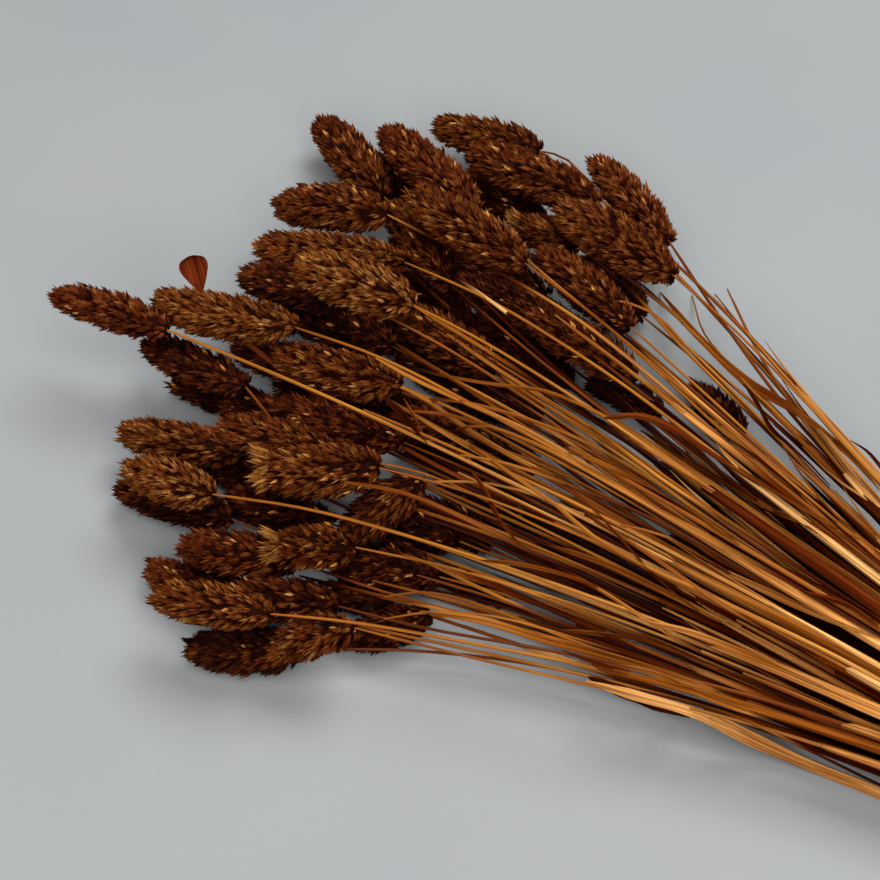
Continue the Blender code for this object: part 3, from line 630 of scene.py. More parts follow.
def seed_head(parts, scale, neck, tip, radius, settings, rng, tone, faded, pile):
    """Adds a seed head: a core painted dark as the shade between its glumes, and rows of glumes set
    round it in a spiral.
    """
    length = np.linalg.norm(tip - neck)
    along = (tip - neck) / length
    level = unit(np.cross(along, (0, 0, 1)))
    low = np.cross(along, level)
    bend = low * rng.normal(0, 0.7 * MM) + level * rng.normal(0, 0.7 * MM)
    core = np.linspace(-0.02, 0.95, 12)
    radii = np.tile((radius * 0.72 * at(HEAD_SHAPE, core))[:, None], (1, 8))
    radii[0] = 0.6 * MM
    radii[-1] = 0.4 * MM
    mood, redness = np.clip(np.array(tone) + rng.normal(0, 0.05, 2), 0, 1)
    # The core is painted dark brown: shade deep between the glumes.
    dark = np.tile((0.25, 0.33, redness, 0.0), (12, 1))
    middle = neck + np.outer(core, tip - neck) + np.outer(4 * core * (1 - core), bend)
    tube(parts, middle, radii, dark, GLUME)
    # Spikelets wind up the head in a spiral, each a group of glumes fanned out side by side.
    groups = int(settings.scales_per_area * (length / MM) * (radius / MM) / SPIKELET)
    count = groups * SPIKELET
    group = np.repeat(np.arange(groups), SPIKELET)
    turned = np.tile(np.linspace(-1, 1, SPIKELET), groups)
    place = -0.03 + 0.92 * ((group + 0.5) / groups) ** 0.96
    place += rng.normal(0, 0.014, groups)[group] + rng.normal(0, 0.006, count)
    angle = group * GOLDEN_ANGLE + rng.normal(0, 0.2, groups)[group] + turned * 0.3 * MM / radius
    radial = np.cos(angle)[:, None] * low + np.sin(angle)[:, None] * level
    # How far glumes stand off the head's axis, in degrees, from its foot to its tip.
    open_tip = 30 if faded else 14
    leans = ((0, 66), (0.06, 50), (0.2, 36), (0.5, 30), (0.78, max(26, open_tip)), (0.9, open_tip))
    lean = np.radians(at(leans, place) + rng.normal(0, 7, groups)[group] + rng.normal(0, 5, count))
    size = settings.scale_length * at(((0, 0.7), (0.12, 0.9), (0.5, 1.0), (0.85, 1.0)), place)
    size *= rng.uniform(0.85, 1.12, groups)[group] * rng.uniform(0.85, 1.1, count)
    grain = rng.random(count) < settings.golden_share
    size[grain] *= 0.7
    flare = place > 0.8 if faded else np.zeros(count, bool)
    size[flare] *= 1.25
    # Their tips end about on the head's outer form.
    reach = np.clip(place + size * np.cos(lean) / length, 0, 1.02)
    tip_radius = radius * at(HEAD_SHAPE, reach) * rng.uniform(0.86, 1.04, count)
    if faded:
        tip_radius = np.maximum(tip_radius, radius * at(((0.7, 0), (0.85, 0.8)), place))
    base_radius = np.maximum(tip_radius - size * np.sin(lean), 0.1 * radius)
    # Each points along its lean, fanned out in its spikelet and a little astray.
    aim = np.cos(lean)[:, None] * along + np.sin(lean)[:, None] * radial
    fanned = aim + np.cross(aim, radial) * (turned * 0.27)[:, None]
    aim = unit(fanned + rng.normal(0, 0.1, (count, 3)))
    out = unit(radial - (radial * aim).sum(1)[:, None] * aim)
    side = np.cross(aim, out)
    roll = (rng.normal(0, 0.35, count) + 0.4 * turned)[:, None]
    out, side = out * np.cos(roll) + side * np.sin(roll), side * np.cos(roll) - out * np.sin(roll)
    foot = neck + along * (place * length)[:, None] + radial * base_radius[:, None]
    foot += np.outer(4 * place * (1 - place), bend)
    # Glumes that lie under another piece get painted shade: darker and redder.
    spots = neck + along * (reach * length)[:, None] + radial * (radius + 1.5 * MM)
    covered = pile.cover(spots, 0.5 * MM)
    gold = grain * rng.uniform(0.6, 1.0, count)
    gold[flare] = rng.uniform(0.0, 0.6, flare.sum())
    shade = mood + 0.05 + rng.normal(0, 0.15, groups)[group] + rng.normal(0, 0.14, count)
    shade -= 0.6 * covered
    red = redness + rng.normal(0, 0.2, groups)[group] + 0.3 * covered
    tints = np.stack((np.clip(shade, 0, 1), np.zeros(count), np.clip(red, 0, 1), gold), 1)
    width = settings.scale_width * rng.uniform(0.85, 1.15, count) * size / settings.scale_length
    width[grain] *= 1.5
    width[flare] *= 0.65
    thick = settings.scale_thickness * rng.uniform(0.85, 1.15, count)
    axes = side * width[:, None], out * thick[:, None], aim * size[:, None]
    glumes(parts, scale, foot, axes, tints, rng)


def glumes(parts, scale, foot, axes, tints, rng):
    """Adds a glume at each foot, stretched along its three axes, with its own tint."""
    corners, triangles = scale
    count = len(foot)
    points = foot[:, None] + sum(corners[None, :, k, None] * axes[k][:, None] for k in range(3))
    points[..., 2] = np.clip(points[..., 2], LOWEST, HIGHEST)
    painted = np.repeat(tints[:, None], len(corners), 1)
    # The place along each glume, which the material turns into painted shade at the foot.
    painted[..., 1] = corners[None, :, 2]
    faces = (triangles[None] + (np.arange(count) * len(corners))[:, None, None]).reshape(-1, 3)
    flat = corners[triangles][:, :, (0, 2)] * (1.2, 4.3)
    places = np.tile(flat.reshape(1, -1, 2), (count, 1, 1)) + rng.uniform(0, 90, (count, 1, 2))
    parts.add(points, painted.reshape(-1, 4), faces, places, GLUME)


class Straw:
    """How one straw is jointed: bare stretches, leaf sheaths and the mouths that they end in."""

    def __init__(self, line, thick, thin, rng, last_mouth, pile):
        self.line = line
        self.stations = np.arange(0, line.length, 8 * MM)
        covered = pile.cover(line.point(self.stations), 2.2 * thick)
        # Smoothed along the straw, so that the painted shade changes softly.
        for _ in range(2):
            covered[1:-1] = (covered[:-2] + covered[1:-1] + covered[2:]) / 3
        self.covered = covered
        self.thick = thick
        self.thin = thin
        self.shade = np.clip(rng.normal(0.66, 0.16), 0.15, 1.0)
        self.sheaths = []
        mouth = last_mouth
        while mouth > 25 * MM:
            joint = mouth - rng.uniform(75, 125) * MM
            # Two sheaths in three are pale, the others dark.
            tone = rng.normal(0.76 if rng.random() < 0.68 else 0.36, 0.12)
            self.sheaths.append((max(joint, 0.0), mouth, np.clip(tone, 0, 1)))
            mouth = joint - rng.uniform(10, 80) * MM
        self.sheaths.reverse()

    def painted_shade(self, where):
        """How far the straw is covered at some places along it, which its material paints as shade.
        """
        return np.interp(where, self.stations, self.covered)

    def bare_radius(self, where):
        """The culm's own radius: stout below the last mouth, and thin above it."""
        last = self.sheaths[-1][1] if self.sheaths else 0.55 * self.line.length
        end = self.line.length
        shape = ((0, self.thick), (last - 12 * MM, 0.86 * self.thick), (last, self.thin * 1.3))
        return at((*shape, (end - 9 * MM, self.thin), (end, self.thin * 0.55)), where)


def straw(parts, build, rng, sides=9, leaves=0.55):
    """Adds one straw: the culm with its joints, the sheaths round it, and torn leaf ends."""
    line = build.line
    where = np.append(np.arange(0, line.length, 7 * MM), line.length)
    joints = [s[0] for s in build.sheaths if s[0] > 12 * MM]
    for joint in joints:
        where = np.append(where, joint + np.array((-1.6, -0.8, 0.0, 0.8, 1.6)) * MM)
    where = np.unique(np.round(where, 5))
    radius = build.bare_radius(where)
    # Straws are palest at the cut end.
    shade = np.clip(build.shade - 0.7 * (where / line.length - 0.56), 0, 1)
    tints = paint(len(where), shade, 0.0, build.painted_shade(where))
    for joint in joints:
        near = np.exp(-(((where - joint) / (0.9 * MM)) ** 2))
        radius = radius * (1 + 0.22 * near)
        tints[:, 1] = np.maximum(tints[:, 1], 0.85 * near)
    points = line.point(where)
    axes = axes_along(points)
    # The first two rings line the hollow of the cut end, painted dark as the shade inside it.
    hollow = points[0] + axes[0][0] * np.array((2.5, 0.0))[:, None] * MM
    points = np.concatenate((hollow, points))
    axes = [np.concatenate((a[:1], a[:1], a)) for a in axes]
    radii = np.concatenate((radius[:1] * 0.5, radius[:1] * 0.6, radius))[:, None] * np.ones(sides)
    tints = np.concatenate((((0.1, 1.0, 0, 0), (0.1, 0.6, 0, 0)), tints))
    along = np.concatenate(((-3.5, -1.0), where / MM))
    grid(parts, rings(points, axes, radii), along, tints, CULM)
    for joint, mouth, tone in build.sheaths:
        sheath(parts, build, joint, mouth, tone, rng, sides)
        if rng.random() < leaves:
            torn_leaf(parts, build, mouth, tone, rng)


def sheath(parts, build, joint, mouth, tone, rng, sides):
    """Adds a leaf sheath: a loose wrapper from a joint to its slanting, ragged mouth."""
    line = build.line
    where = np.append(np.arange(joint, mouth - 2 * MM, 8 * MM), (mouth - 2 * MM, mouth))
    share = (where - joint) / (mouth - joint)
    wide = build.thick * (1.08 + 0.25 * np.sin(math.pi * share) + rng.uniform(0.0, 0.15))
    wide = wide * at(((0, 0.96), (0.06, 1.0), (0.8, 1.0), (1, rng.uniform(0.78, 1.0))), share)
    flat = rng.uniform(0.7, 0.95)
    turn = rng.uniform(0, math.pi) + share * rng.normal(0, 0.8)
    angle = 2 * math.pi * np.arange(sides) / sides
    lobes = 1 - (1 - flat) * np.cos(angle[None] - turn[:, None]) ** 2
    lobes = lobes * (1 + rng.normal(0, 0.03, sides)[None])
    radii = np.maximum(wide[:, None] * lobes, build.bare_radius(where)[:, None] * 1.03)
    slant = rng.uniform(1.5, 7.0) * MM
    ragged = slant * (0.5 + 0.5 * np.cos(angle - rng.uniform(0, 6.3)))
    ragged = ragged + rng.uniform(0, 1.5, sides) * MM
    shift = np.zeros_like(radii)
    shift[-1] = ragged
    # The last two rings turn back inside the mouth.
    inside = np.minimum(radii[-1:] * 0.86, radii[-1:] - 0.12 * MM)
    axes = [np.concatenate((a, a[-1:], a[-1:])) for a in axes_along(line.point(where))]
    points = np.concatenate((line.point(where), line.point(mouth), line.point(mouth - 5 * MM)))
    radii = np.concatenate((radii, inside, inside * 0.8))
    shift = np.concatenate((shift, ragged[None] * 0.96, np.zeros((1, sides))))
    spots = np.append(where, (mouth, mouth))
    paler = 0.6 * (0.72 - spots / line.length)
    shade = tone + paler + 0.12 * np.sin(np.append(share, (1, 1)) * 5 + turn[0])
    tints = paint(len(points), np.clip(shade, 0, 1), 0.0, build.painted_shade(spots))
    # Painted shade: darker towards the mouth and inside it, between sheath and culm.
    tints[-4:, 1] = (0.1, 0.45, 0.7, 0.95)
    along = np.append(where, (mouth + MM, mouth + 6 * MM)) / MM
    grid(parts, rings(points, axes, radii, shift), along, tints, SHEATH)


def torn_leaf(parts, build, mouth, tone, rng):
    """Adds what is left of a leaf at a sheath's mouth: a narrow strip that curls off the straw."""
    line = build.line
    start = mouth - 3 * MM
    length = min(rng.uniform(10, 38) * MM, line.length - start)
    steps = np.linspace(0, 1, 10)
    points = line.point(start + steps * length)
    _, level, low = axes_along(points)
    side = rng.uniform(-1, 1)
    away = unit(level * side - low * rng.uniform(0.2, 1.0))
    lift = build.thick * 0.9 + length * 0.16 * steps**2 * rng.uniform(0.3, 1.2)
    points = points + away * lift[:, None]
    points[:, 2] = np.maximum(points[:, 2], 0.8 * MM)
    half = build.thick * rng.uniform(0.55, 0.95)
    half = half * at(((0, 0.7), (0.25, 1.0), (0.7, 0.62), (1, 0.06)), steps)
    facing = unit(away + level * rng.normal(0, 0.4) * steps[:, None])
    shade = np.clip(tone + rng.normal(0, 0.15), 0, 1)
    tints = paint(len(points), shade, 0.5 * steps**2, build.painted_shade(start + steps * length))
    strip(parts, points, facing, half, 0.12 * MM, 0.4, tints, SHEATH)


class HeadSettings(bpy.types.PropertyGroup):
    """Sizes of the seed heads' glumes."""

    scale_length: FloatProperty(
        name="Glume length", description="From base to tip", default=4.7 * MM, unit="LENGTH"
    )
    scale_width: FloatProperty(
        name="Glume width", description="Widest place", default=1.02 * MM, unit="LENGTH"
    )
    scale_thickness: FloatProperty(
        name="Glume depth",
        description="From the keel to the back",
        default=0.95 * MM,
        unit="LENGTH",
    )
    scales_per_area: FloatProperty(
        name="Glumes",
        description="Number for each square millimetre of length by radius",
        default=5.4,
    )
    golden_share: FloatProperty(
        name="Golden grains", description="Share that stayed gold", default=0.012, subtype="FACTOR"
    )


class StrawSettings(bpy.types.PropertyGroup):
    """Sizes of the straws."""

    low_count: IntProperty(name="Low straws", description="Headless, near the table", default=90)
    loose_count: IntProperty(name="Loose straws", description="Headless, higher up", default=64)
    loose_radius: FloatProperty(
        name="Loose straw radius", description="At the tie", default=0.9 * MM, unit="LENGTH"
    )


class ColourSettings(bpy.types.PropertyGroup):
    """Tints that multiply the materials' own colours, so that white leaves them as they are."""

    heads: FloatVectorProperty(
        name="Seed heads", description="Tint of the dyed glumes", default=WHITE, subtype="COLOR"
    )
    straws: FloatVectorProperty(
        name="Straws", description="Tint of culms and sheaths", default=WHITE, subtype="COLOR"
    )
    leaves: FloatVectorProperty(
        name="Leaves", description="Tint of the dry leaves", default=WHITE, subtype="COLOR"
    )
    twine: FloatVectorProperty(
        name="Twine", description="Tint of the jute", default=WHITE, subtype="COLOR"
    )
    paper: FloatVectorProperty(
        name="Paper", description="Tint of the floor", default=WHITE, subtype="COLOR"
    )


class StageSettings(bpy.types.PropertyGroup):
    """The camera and the studio."""

    elevation: FloatProperty(
        name="Camera height",
        description="Above the table",
        default=math.radians(50),
        subtype="ANGLE",
    )
    azimuth: FloatProperty(
        name="Camera azimuth",
        description="Round the bunch",
        default=math.radians(39),
        subtype="ANGLE",
    )
    distance: FloatProperty(
        name="Camera distance",
        description="To the picture's middle",
        default=700 * MM,
        unit="LENGTH",
    )


def strand_of(name):
    """A stalk's or straw's middle line, its radii, and its head's tip if it has one."""
    found = rings_of(name)
    thin = [ring for ring in found if len(ring) == 5]
    middles = [ring.mean(0) for ring in thin]
    radii = [np.linalg.norm(ring - middle, axis=1).mean() for ring, middle in zip(thin, middles)]
    head = [ring for ring in found if len(ring) == 8]
    tip = found[-1][0] if len(found[-1]) == 1 else None
    wide = 0.0
    if tip is not None:
        axis = unit(tip - middles[-1])
        for ring in head:
            flat = ring - middles[-1]
            flat = flat - np.outer(flat @ axis, axis)
            wide = max(wide, float(np.linalg.norm(flat, axis=1).max()))
    return Line(middles), np.array(radii), tip, wide


class GRASS_OT_stalks(bpy.types.Operator):
    """Adds the stalks: straws with their sheaths and scaly seed heads"""

    bl_idname = "grass.stalks"
    bl_label = "Stalks"

    def execute(self, context):
        scale = model_scale()
        tints = context.scene.grass_colours
        materials = [
            dyed_glume_material(tints.heads),
            straw_material(tints.straws),
            sheath_material(tints.straws),
        ]
        settings = context.scene.grass_heads
        pile = Pile()
        for number, name in enumerate(STALKS):
            rng = np.random.default_rng(100 + number)
            line, radii, tip, wide = strand_of(name)
            parts = Parts()
            tone = HEAD_TONES.get(name[-2:], (0.48, 0.4))
            faded = name in FADED_HEADS
            seed_head(parts, scale, line.knots[-1], tip, wide, settings, rng, tone, faded, pile)
            mouth = min(line.length - rng.uniform(80, 145) * MM, rng.uniform(165, 275) * MM)
            thick, thin = radii[0] * rng.uniform(0.75, 1.02), radii[-1] * rng.uniform(0.6, 0.85)
            build = Straw(line, thick, thin, rng, mouth, pile)
            straw(parts, build, rng)
            parts.piece(name + "_look", materials, (name,), "seed_head")
        return {"FINISHED"}


class GRASS_OT_bare_straws(bpy.types.Operator):
    """Adds the straws that have no head"""

    bl_idname = "grass.bare_straws"
    bl_label = "Bare straws"

    def execute(self, context):
        materials = [bpy.data.materials[n] for n in LOOKS]
        pile = Pile()
        for number, name in enumerate(BARE_STRAWS):
            rng = np.random.default_rng(200 + number)
            line, radii, _, _ = strand_of(name)
            parts = Parts()
            mouth = line.length * rng.uniform(0.6, 0.8)
            build = Straw(line, radii[0] * 0.9, 0.4 * MM, rng, mouth, pile)
            straw(parts, build, rng)
            parts.piece(name + "_look", materials, (name,), "straw")
        return {"FINISHED"}


class GRASS_OT_leaves(bpy.types.Operator):
    """Adds the dry leaf blades and the fan-shaped leaf tip"""

    bl_idname = "grass.leaves"
    bl_label = "Leaves"

    def execute(self, context):
        material = leaf_material(context.scene.grass_colours.leaves)
        eye = eye_direction(context.scene.grass_stage)
        for number, name in enumerate(LEAF_BLADES + ["leaf_fan"]):
            rng = np.random.default_rng(300 + number)
            found = [ring for ring in rings_of(name) if len(ring) >= 4]
            line = Line([ring.mean(0) for ring in found])
            wide = [np.linalg.norm(ring - ring.mean(0), axis=1).max() for ring in found]
            steps = np.linspace(0, line.length, 60)
            if name == "leaf_fan":
                # The fan itself starts three rings from the tip.
                start = line.places[-4]
                steps = np.append(steps[steps < start], np.linspace(start, line.length, 16))
                fan = (steps - start) / (line.length - start)
                half = np.interp(steps, line.places, wide)
                half = np.where(fan > 0, max(wide) * at(FAN_SHAPE, fan), half)
                shade = 0.3
            else:
                half = np.interp(steps, line.places, wide)
                shade = rng.uniform(0.45, 0.75)
            parts = Parts()
            tints = paint(len(steps), shade + 0.08 * np.sin(steps * 90))
            tints[-3:, 1] = (0.1, 0.25, 0.5)
            twist = np.interp(steps, (0, line.length), (rng.normal(0, 0.6), 0.0))[:, None]
            _, level, _ = axes_along(line.point(steps))
            facing = unit(np.array(eye) * np.cos(twist) + level * np.sin(twist))
            strip(parts, line.point(steps), facing, half, 0.25 * MM, 0.35, tints, 0)
            parts.piece(name + "_look", [material], (name,), "leaf")
        return {"FINISHED"}


def low_tube(points, radius):
    """A plain five-sided tube's corners and faces, for keeping clear of."""
    corners = rings(points, axes_along(points), np.full((len(points), 5), radius))
    faces = []
    for i in range(0, 5 * (len(points) - 1), 5):
        faces += [(i + j, i + 5 + j, i + 5 + (j + 1) % 5, i + (j + 1) % 5) for j in range(5)]
    return corners.reshape(-1, 3), faces


class Pile:
    """Everything laid so far, as one set of triangles to rest new straws on."""

    def __init__(self):
        self.corners, self.faces, self.tree = [], [], None
        for node in NODES.values():
            mesh = node.data
            self.add([v.co[:] for v in mesh.vertices], [tuple(p.vertices) for p in mesh.polygons])

    def add(self, corners, faces):
        """Adds a shape."""
        base = len(self.corners)
        self.corners.extend(map(tuple, corners))
        self.faces.extend(tuple(i + base for i in face) for face in faces)
        self.tree = None

    def surface(self):
        """The search tree of all the triangles."""
        if self.tree is None:
            self.tree = BVHTree.FromPolygons(self.corners, self.faces)
        return self.tree

    def cover(self, points, clear):
        """How far each point is covered by what lies above it, from 0 in the open to 1."""
        surface = self.surface()
        blocked = np.zeros(len(points))
        for way in COVER_WAYS:
            way = Vector(way).normalized()
            for i, point in enumerate(points):
                if surface.ray_cast(Vector(point) + way * clear, way, COVER_REACH)[0]:
                    blocked[i] += 1 / len(COVER_WAYS)
        return blocked


class View:
    """The camera's eye, to find what lies behind a pixel of the picture."""

    def __init__(self, stage):
        middle = tie_middle() + TIE_TO_PICTURE_MIDDLE
        middle.z = 0
        self.back = eye_direction(stage)
        self.eye = middle + self.back * stage.distance
        self.right = Vector((0, 0, 1)).cross(self.back).normalized()
        self.up = self.back.cross(self.right)

    def ray(self, pixel):
        """The direction from the eye through a pixel."""
        x, y = (pixel[0] - MIDDLE_PIXEL) / FOCAL_PIXELS, (MIDDLE_PIXEL - pixel[1]) / FOCAL_PIXELS
        return (self.right * x + self.up * y - self.back).normalized()

    def pixels(self, points):
        """The pixels at which points show."""
        away = points - np.array(self.eye)
        far = -(away @ np.array(self.back)) / FOCAL_PIXELS
        x, y = away @ np.array(self.right) / far, away @ np.array(self.up) / far
        return np.stack((MIDDLE_PIXEL + x, MIDDLE_PIXEL - y), 1)

    def rest(self, route, surface, radius, step=6.0):
        """Points of a stiff strand along a route of pixels, lying on what is highest under it."""
        line = Line([(*pixel, 0.0) for pixel in route])
        spots = line.point(np.linspace(0, line.length, max(4, int(line.length / step))))
        rays = [self.ray(spot) for spot in spots]
        need = []
        for ray in rays:
            floor = (self.eye.z - radius - GAP) / -ray.z
            hit = surface.ray_cast(self.eye, ray)[3]
            need.append(min(floor, hit - radius - 0.15 * MM) if hit else floor)
        need = np.array(need)
        depth = need.copy()
        # The strand straightens itself as far as what lies under it allows.
        for _ in range(150):
            depth[1:-1] = (depth[:-2] + depth[2:]) / 2
            depth[0] = 2 * depth[1] - depth[2]
            depth[-1] = 2 * depth[-2] - depth[-3]
            depth = np.minimum(depth, need)
        for _ in range(4):
            depth[1:-1] = (depth[:-2] + 2 * depth[1:-1] + depth[2:]) / 4
        return np.array(self.eye) + np.array(rays) * depth[:, None]


class GRASS_OT_loose_straws(bpy.types.Operator):
    """Adds thinner straws that fill the bunch, some low among the stalks and some over them"""

    bl_idname = "grass.loose_straws"
    bl_label = "Loose straws"

    def execute(self, context):
        settings = context.scene.grass_straws
        self.view = View(context.scene.grass_stage)
        self.rng = rng = np.random.default_rng(7)
        self.lines = [strand_of(name)[0] for name in STALKS + BARE_STRAWS]
        self.tie = tie = tie_middle()
        self.pile = Pile()
        self.parts = Parts()
        ends = [line.knots[-1] for line in self.lines]
        # From the picture's lower edge to its upper edge, without the outermost.
        order = np.argsort([math.atan2(end[1] - tie.y, tie.x - end[0]) for end in ends])[6:-3]
        materials = [bpy.data.materials[n] for n in LOOKS]
        scale = model_scale()
        for tip, neck, radius in LOW_HEADS:
            self.low_head(scale, tip, neck, radius * MM, context.scene.grass_heads)
        self.parts.piece("low_heads", materials, (), "seed_head")
        self.parts = Parts()
        for number in range(settings.low_count + settings.loose_count):
            if number == settings.low_count:
                self.parts.piece("low_straws", materials, (), "straw")
                self.parts = Parts()
            low = number < settings.low_count
            if low:
                pick = number / settings.low_count
            else:
                pick = (number - settings.low_count) / settings.loose_count
            first = int((pick + rng.uniform(0, 0.02)) * (len(order) - 4))
            one, two = self.lines[order[first]], self.lines[order[first + int(rng.integers(1, 4))]]
            share = rng.uniform(0.3, 0.7)
            steps = np.linspace(0, rng.uniform(0.6, 0.98), 26)
            points = one.point(steps * one.length) * share
            points += two.point(steps * two.length) * (1 - share)
            points[:, 2] += rng.uniform(-6, 8) * MM * np.sin(steps * math.pi * 0.8)
            if low:
                points[:, 2] *= 1 - rng.uniform(0.4, 0.85) * at(((0.25, 0), (0.5, 1)), steps)
            radius = settings.loose_radius * rng.uniform(0.7, 1.1)
            points = push_clear(points, radius, self.pile.surface(), tie)
            self.lay(points, radius, rng.uniform(150, 285) * MM, 0.3 if low else 0.65)
        for route, half in TOP_STRAWS:
            self.over(route, half * MM)
        for route, half, tone in LEAF_STRIPS:
            self.leaf(route, half * MM, tone)
        self.parts.piece("loose_straws", materials, (), "straw")
        return {"FINISHED"}

    def lay(self, points, radius, mouth, leaves):
        """Adds a straw along points from its cut end, and lays later ones clear of it."""
        line = Line(points)
        mouth = min(mouth, 0.85 * line.length)
        build = Straw(line, radius, radius * 0.6, self.rng, mouth, self.pile)
        straw(self.parts, build, self.rng, sides=7, leaves=leaves)
        self.pile.add(*low_tube(points, radius))

    def low_head(self, scale, tip, neck, radius, settings):
        """Adds a seed head that lies on the table under the others, with its straw."""
        ends = []
        for pixel in (neck, tip):
            ray = self.view.ray(pixel)
            ends.append(np.array(self.view.eye + ray * ((self.view.eye.z - radius) / -ray.z)))
        # A dark tone, partly painted shade for heads that lie deep under the others.
        tone = (0.3, 0.5)
        seed_head(self.parts, scale, *ends, radius, settings, self.rng, tone, False, self.pile)
        line, place = self.neighbour(self.view.pixels(ends[0][None])[0])
        points = line.point(np.linspace(0, place - 40 * MM, 20))
        points[:, 2] *= np.linspace(1, 0.3, 20)
        points = np.concatenate((points, ends[0][None]))
        points = push_clear(points, 0.8 * MM, self.pile.surface(), self.tie)
        self.lay(points, 0.8 * MM, 260 * MM, 0.0)
        self.pile.add(*low_tube(np.array(ends), 0.8 * radius))

    def neighbour(self, pixel):
        """The straw that shows nearest to a pixel, and the place along it."""
        best = None
        for line in self.lines:
            spots = np.arange(0, line.length, 3 * MM)
            gaps = np.linalg.norm(self.view.pixels(line.point(spots)) - pixel, axis=1)
            near = int(gaps.argmin())
            if best is None or gaps[near] < best[0]:
                best = (gaps[near], line, spots[near])
        return best[1:]

    def over(self, route, half):
        """Adds a straw that shows along a route of pixels, then runs with its nearest neighbour."""
        shown = self.view.rest(route, self.pile.surface(), half)
        beside, place = self.neighbour(self.view.pixels(shown[-1:])[0])
        if place < 90 * MM or len(route) < 4:
            chain = shown[::-1]
        else:
            back = beside.point(np.arange(0, place - 30 * MM, 7 * MM))
            chain = np.concatenate((back, shown[::-1]))
            first, last = max(len(back) - 8, 1), len(back) + 4
            for _ in range(12):
                near = chain[first - 1 : last + 1]
                chain[first:last] = (near[:-2] + 2 * near[1:-1] + near[2:]) / 4
            chain[: len(back)] = push_clear(chain, half, self.pile.surface(), self.tie)[: len(back)]
        line = Line(chain)
        build = Straw(line, half * 1.15, half * 0.95, self.rng, line.length * 0.3, self.pile)
        build.shade = self.rng.uniform(0.5, 0.9)
        build.sheaths = build.sheaths[:1]
        straw(self.parts, build, self.rng, sides=7, leaves=0.0)
        self.pile.add(*low_tube(chain, half))

    def leaf(self, route, half, tone):
        """Adds a torn strip of leaf that lies along a route of pixels."""
        rng = self.rng
        points = self.view.rest(route, self.pile.surface(), 0.5 * MM)
        share = np.linspace(0, 1, len(points))
        wide = half * at(((0, 0.12), (0.1, 0.7), (0.4, 1.0), (0.8, 0.8), (1, 0.1)), share)
        wide *= 1 + 0.12 * np.sin(share * rng.uniform(8, 20) + rng.uniform(0, 6))
        twist = rng.normal(0, 0.5) + rng.normal(0, 0.9) * share
        back = np.array(self.view.back)
        side = np.cross(unit(np.gradient(points, axis=0)), back)
        facing = unit(back * np.cos(twist)[:, None] + side * np.sin(twist)[:, None])
        shade = np.clip(tone + rng.uniform(-0.05, 0.05) + 0.08 * np.sin(share * 9), 0, 1)
        tints = paint(len(points), shade, 0.35 * np.abs(share - 0.5))
        strip(self.parts, points, facing, wide, 0.15 * MM, rng.uniform(0.2, 0.6), tints, SHEATH)


def push_clear(points, radius, tree, tie):
    """Moves a straw's points off what they run through, keeping the straw smooth and in the tie."""
    points = points.copy()
    for _ in range(40):
        points[1:-1] += 0.25 * ((points[:-2] + points[2:]) / 2 - points[1:-1])
        for i, point in enumerate(points):
            spot, normal, _, gap = tree.find_nearest(Vector(point))
            need = radius + GAP
            inside = (Vector(point) - spot).dot(normal) < 0
            if inside or gap < need:
                away = normal if inside else (Vector(point) - spot).normalized()
                points[i] += np.array(away) * (need + (gap if inside else -gap)) * 0.6
        points[:, 2] = np.maximum(points[:, 2], radius + GAP)
        near = np.abs(points[:, 0] - tie.x) < 12 * MM
        off = points[near][:, 1:] - (tie.y, tie.z)
        far = np.linalg.norm(off, axis=1)
        room = TIE_INNER_RADIUS - radius
        drawn_in = np.minimum(1, room / np.maximum(far, 1e-6))[:, None]
        points[near, 1:] = (tie.y, tie.z) + off * drawn_in
    for _ in range(5):
        points[1:-1] = (points[:-2] + 2 * points[1:-1] + points[2:]) / 4
    return points


def tie_middle():
    """The middle of the tie's hole."""
    low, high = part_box("twine_tie")
    height = TIE_INNER_RADIUS + 2 * TWINE_RADIUS
    return Vector(((low[0] + high[0]) / 2, (low[1] + high[1]) / 2, height))


def yarn(parts, route):
    """Adds a three-ply twine along a route."""
    _, level, low = axes_along(route, TWINE_LEVEL)
    along = distances(route)
    for ply in range(3):
        turn = along / PLY_LAY * 2 * math.pi + ply * 2 * math.pi / 3
        ring = np.cos(turn)[:, None] * low + np.sin(turn)[:, None] * level
        points = route + PLY_OFFSET * ring
        radii = np.full((len(points), 7), PLY_RADIUS)
        radii[0] = radii[-1] = 0.3 * MM
        tube(parts, points, radii, np.zeros((len(points), 4)), 0, level_with=TWINE_LEVEL)


class GRASS_OT_twine(bpy.types.Operator):
    """Adds the twine tie with its knot"""

    bl_idname = "grass.twine"
    bl_label = "Twine"

    def execute(self, context):
        tie = np.array(tie_middle())
        radius = TIE_INNER_RADIUS + TWINE_RADIUS
        turn = np.linspace(0, TWINE_TURNS, 360)
        angle = math.pi / 2 + 2 * math.pi * turn
        along = TWINE_PITCH * (turn - TWINE_TURNS / 2)
        ring = np.stack((along, radius * np.cos(angle), radius * np.sin(angle)), 1)
        tail = np.linspace(1, 0.02, 16)[:, None] * TWINE_TAIL
        first = ring[0] + unit(np.array((-0.35, 1, 0.3))) * tail
        last = ring[-1] + unit(np.array((0.35, -1, 0.3))) * tail[::-1]
        parts = Parts()
        yarn(parts, tie + np.concatenate((first, ring, last)))
        # The knot follows a trefoil.
        t = np.linspace(0, 2 * math.pi, 90)
        level = np.cos(t) - 2 * np.cos(2 * t)
        knot = np.stack((np.sin(t) + 2 * np.sin(2 * t), level, -np.sin(3 * t)), 1)
        knot *= np.array((1.05, 0.62, 0.75)) * MM
        yarn(parts, tie + (0, 0, radius + TWINE_RADIUS + 0.4 * MM) + knot)
        material = twine_material(context.scene.grass_colours.twine)
        parts.piece("twine_tie_look", [material], ("twine_tie",), "twine")
        return {"FINISHED"}


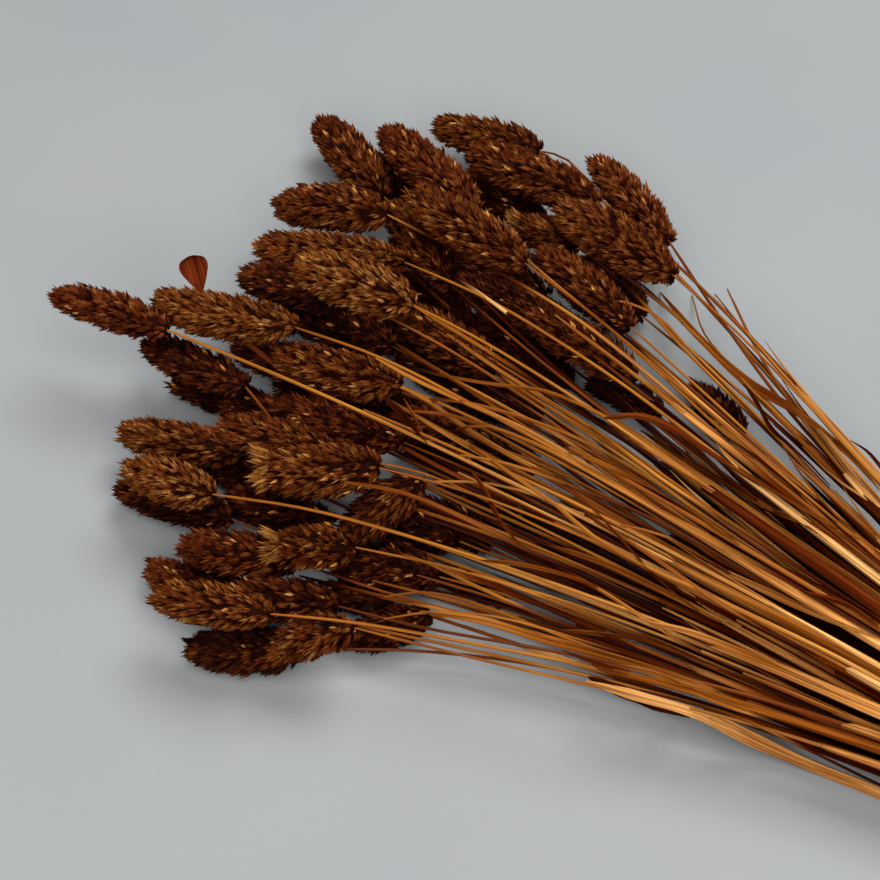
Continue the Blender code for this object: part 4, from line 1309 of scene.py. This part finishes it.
def eye_direction(stage):
    """From the picture's middle towards the camera."""
    flat, turn = math.cos(stage.elevation), stage.azimuth
    return Vector((math.sin(turn) * flat, -math.cos(turn) * flat, math.sin(stage.elevation)))


class GRASS_OT_stage(bpy.types.Operator):
    """Adds the paper floor, the soft lights and the camera"""

    bl_idname = "grass.stage"
    bl_label = "Stage"

    def execute(self, context):
        scene = context.scene
        settings = scene.grass_stage
        bpy.ops.object.select_all(action="DESELECT")
        bpy.ops.mesh.primitive_plane_add(size=6, location=(0, 0, 0))
        floor = context.object
        floor.name = "paper_floor"
        floor.data.materials.append(paper_material(scene.grass_colours.paper))
        middle = tie_middle() + TIE_TO_PICTURE_MIDDLE
        middle.z = 0
        eye = eye_direction(settings)
        camera = bpy.data.cameras.new("camera")
        camera.lens = 100
        camera.sensor_width = 36
        camera.clip_start = 0.01
        eye_object = bpy.data.objects.new("camera", camera)
        eye_object.location = middle + eye * settings.distance
        eye_object.rotation_euler = eye.to_track_quat("Z", "Y").to_euler()
        scene.collection.objects.link(eye_object)
        scene.camera = eye_object
        self.light(scene, middle, "key_softbox", (0.0, 0.45, 1.0), 0.9, 29, (0.97, 1.0, 1.02))
        self.light(scene, middle, "overhead_fill", (0.5, -0.62, 1.0), 1.4, 42, (1.0, 1.0, 1.0))
        world = bpy.data.worlds.new("studio")
        world.use_nodes = True
        world.node_tree.nodes["Background"].inputs["Color"].default_value = (0.95, 0.97, 1.0, 1)
        world.node_tree.nodes["Background"].inputs["Strength"].default_value = 0.12
        scene.world = world
        scene.view_settings.view_transform = "Standard"
        return {"FINISHED"}

    def light(self, scene, middle, name, direction, size, power, colour):
        """Adds a square soft light that looks at the bunch."""
        lamp = bpy.data.lights.new(name, "AREA")
        lamp.size = size
        lamp.energy = power
        lamp.color = colour
        obj = bpy.data.objects.new(name, lamp)
        towards = Vector(direction).normalized()
        obj.location = middle + towards * LAMP_DISTANCE
        obj.rotation_euler = towards.to_track_quat("Z", "Y").to_euler()
        scene.collection.objects.link(obj)


class GRASS_PT_panel(bpy.types.Panel):
    """The bunch's settings and steps"""

    bl_idname = "GRASS_PT_panel"
    bl_label = "Canary grass bunch"
    bl_space_type = "VIEW_3D"
    bl_region_type = "UI"
    bl_category = "Grass"

    def draw(self, context):
        for group in GROUPS:
            settings = getattr(context.scene, group)
            for key in settings.__annotations__:
                self.layout.prop(settings, key)
        for step in STEPS:
            self.layout.operator(step.bl_idname)


GROUPS = {
    "grass_heads": HeadSettings,
    "grass_straws": StrawSettings,
    "grass_colours": ColourSettings,
    "grass_stage": StageSettings,
}
STEPS = (
    GRASS_OT_stalks,
    GRASS_OT_bare_straws,
    GRASS_OT_leaves,
    GRASS_OT_loose_straws,
    GRASS_OT_twine,
    GRASS_OT_stage,
)


def register():
    """Registers the settings, the steps and the panel."""
    for made in (*GROUPS.values(), *STEPS, GRASS_PT_panel):
        bpy.utils.register_class(made)
    for name, group in GROUPS.items():
        setattr(bpy.types.Scene, name, PointerProperty(type=group))


def unregister():
    """Takes the settings, the steps and the panel away."""
    for name in GROUPS:
        delattr(bpy.types.Scene, name)
    for made in reversed((*GROUPS.values(), *STEPS, GRASS_PT_panel)):
        bpy.utils.unregister_class(made)


def main():
    register()
    bpy.ops.grass.stalks()
    bpy.ops.grass.bare_straws()
    bpy.ops.grass.leaves()
    bpy.ops.grass.loose_straws()
    bpy.ops.grass.twine()
    bpy.ops.grass.stage()


if __name__ == "__main__":
    main()
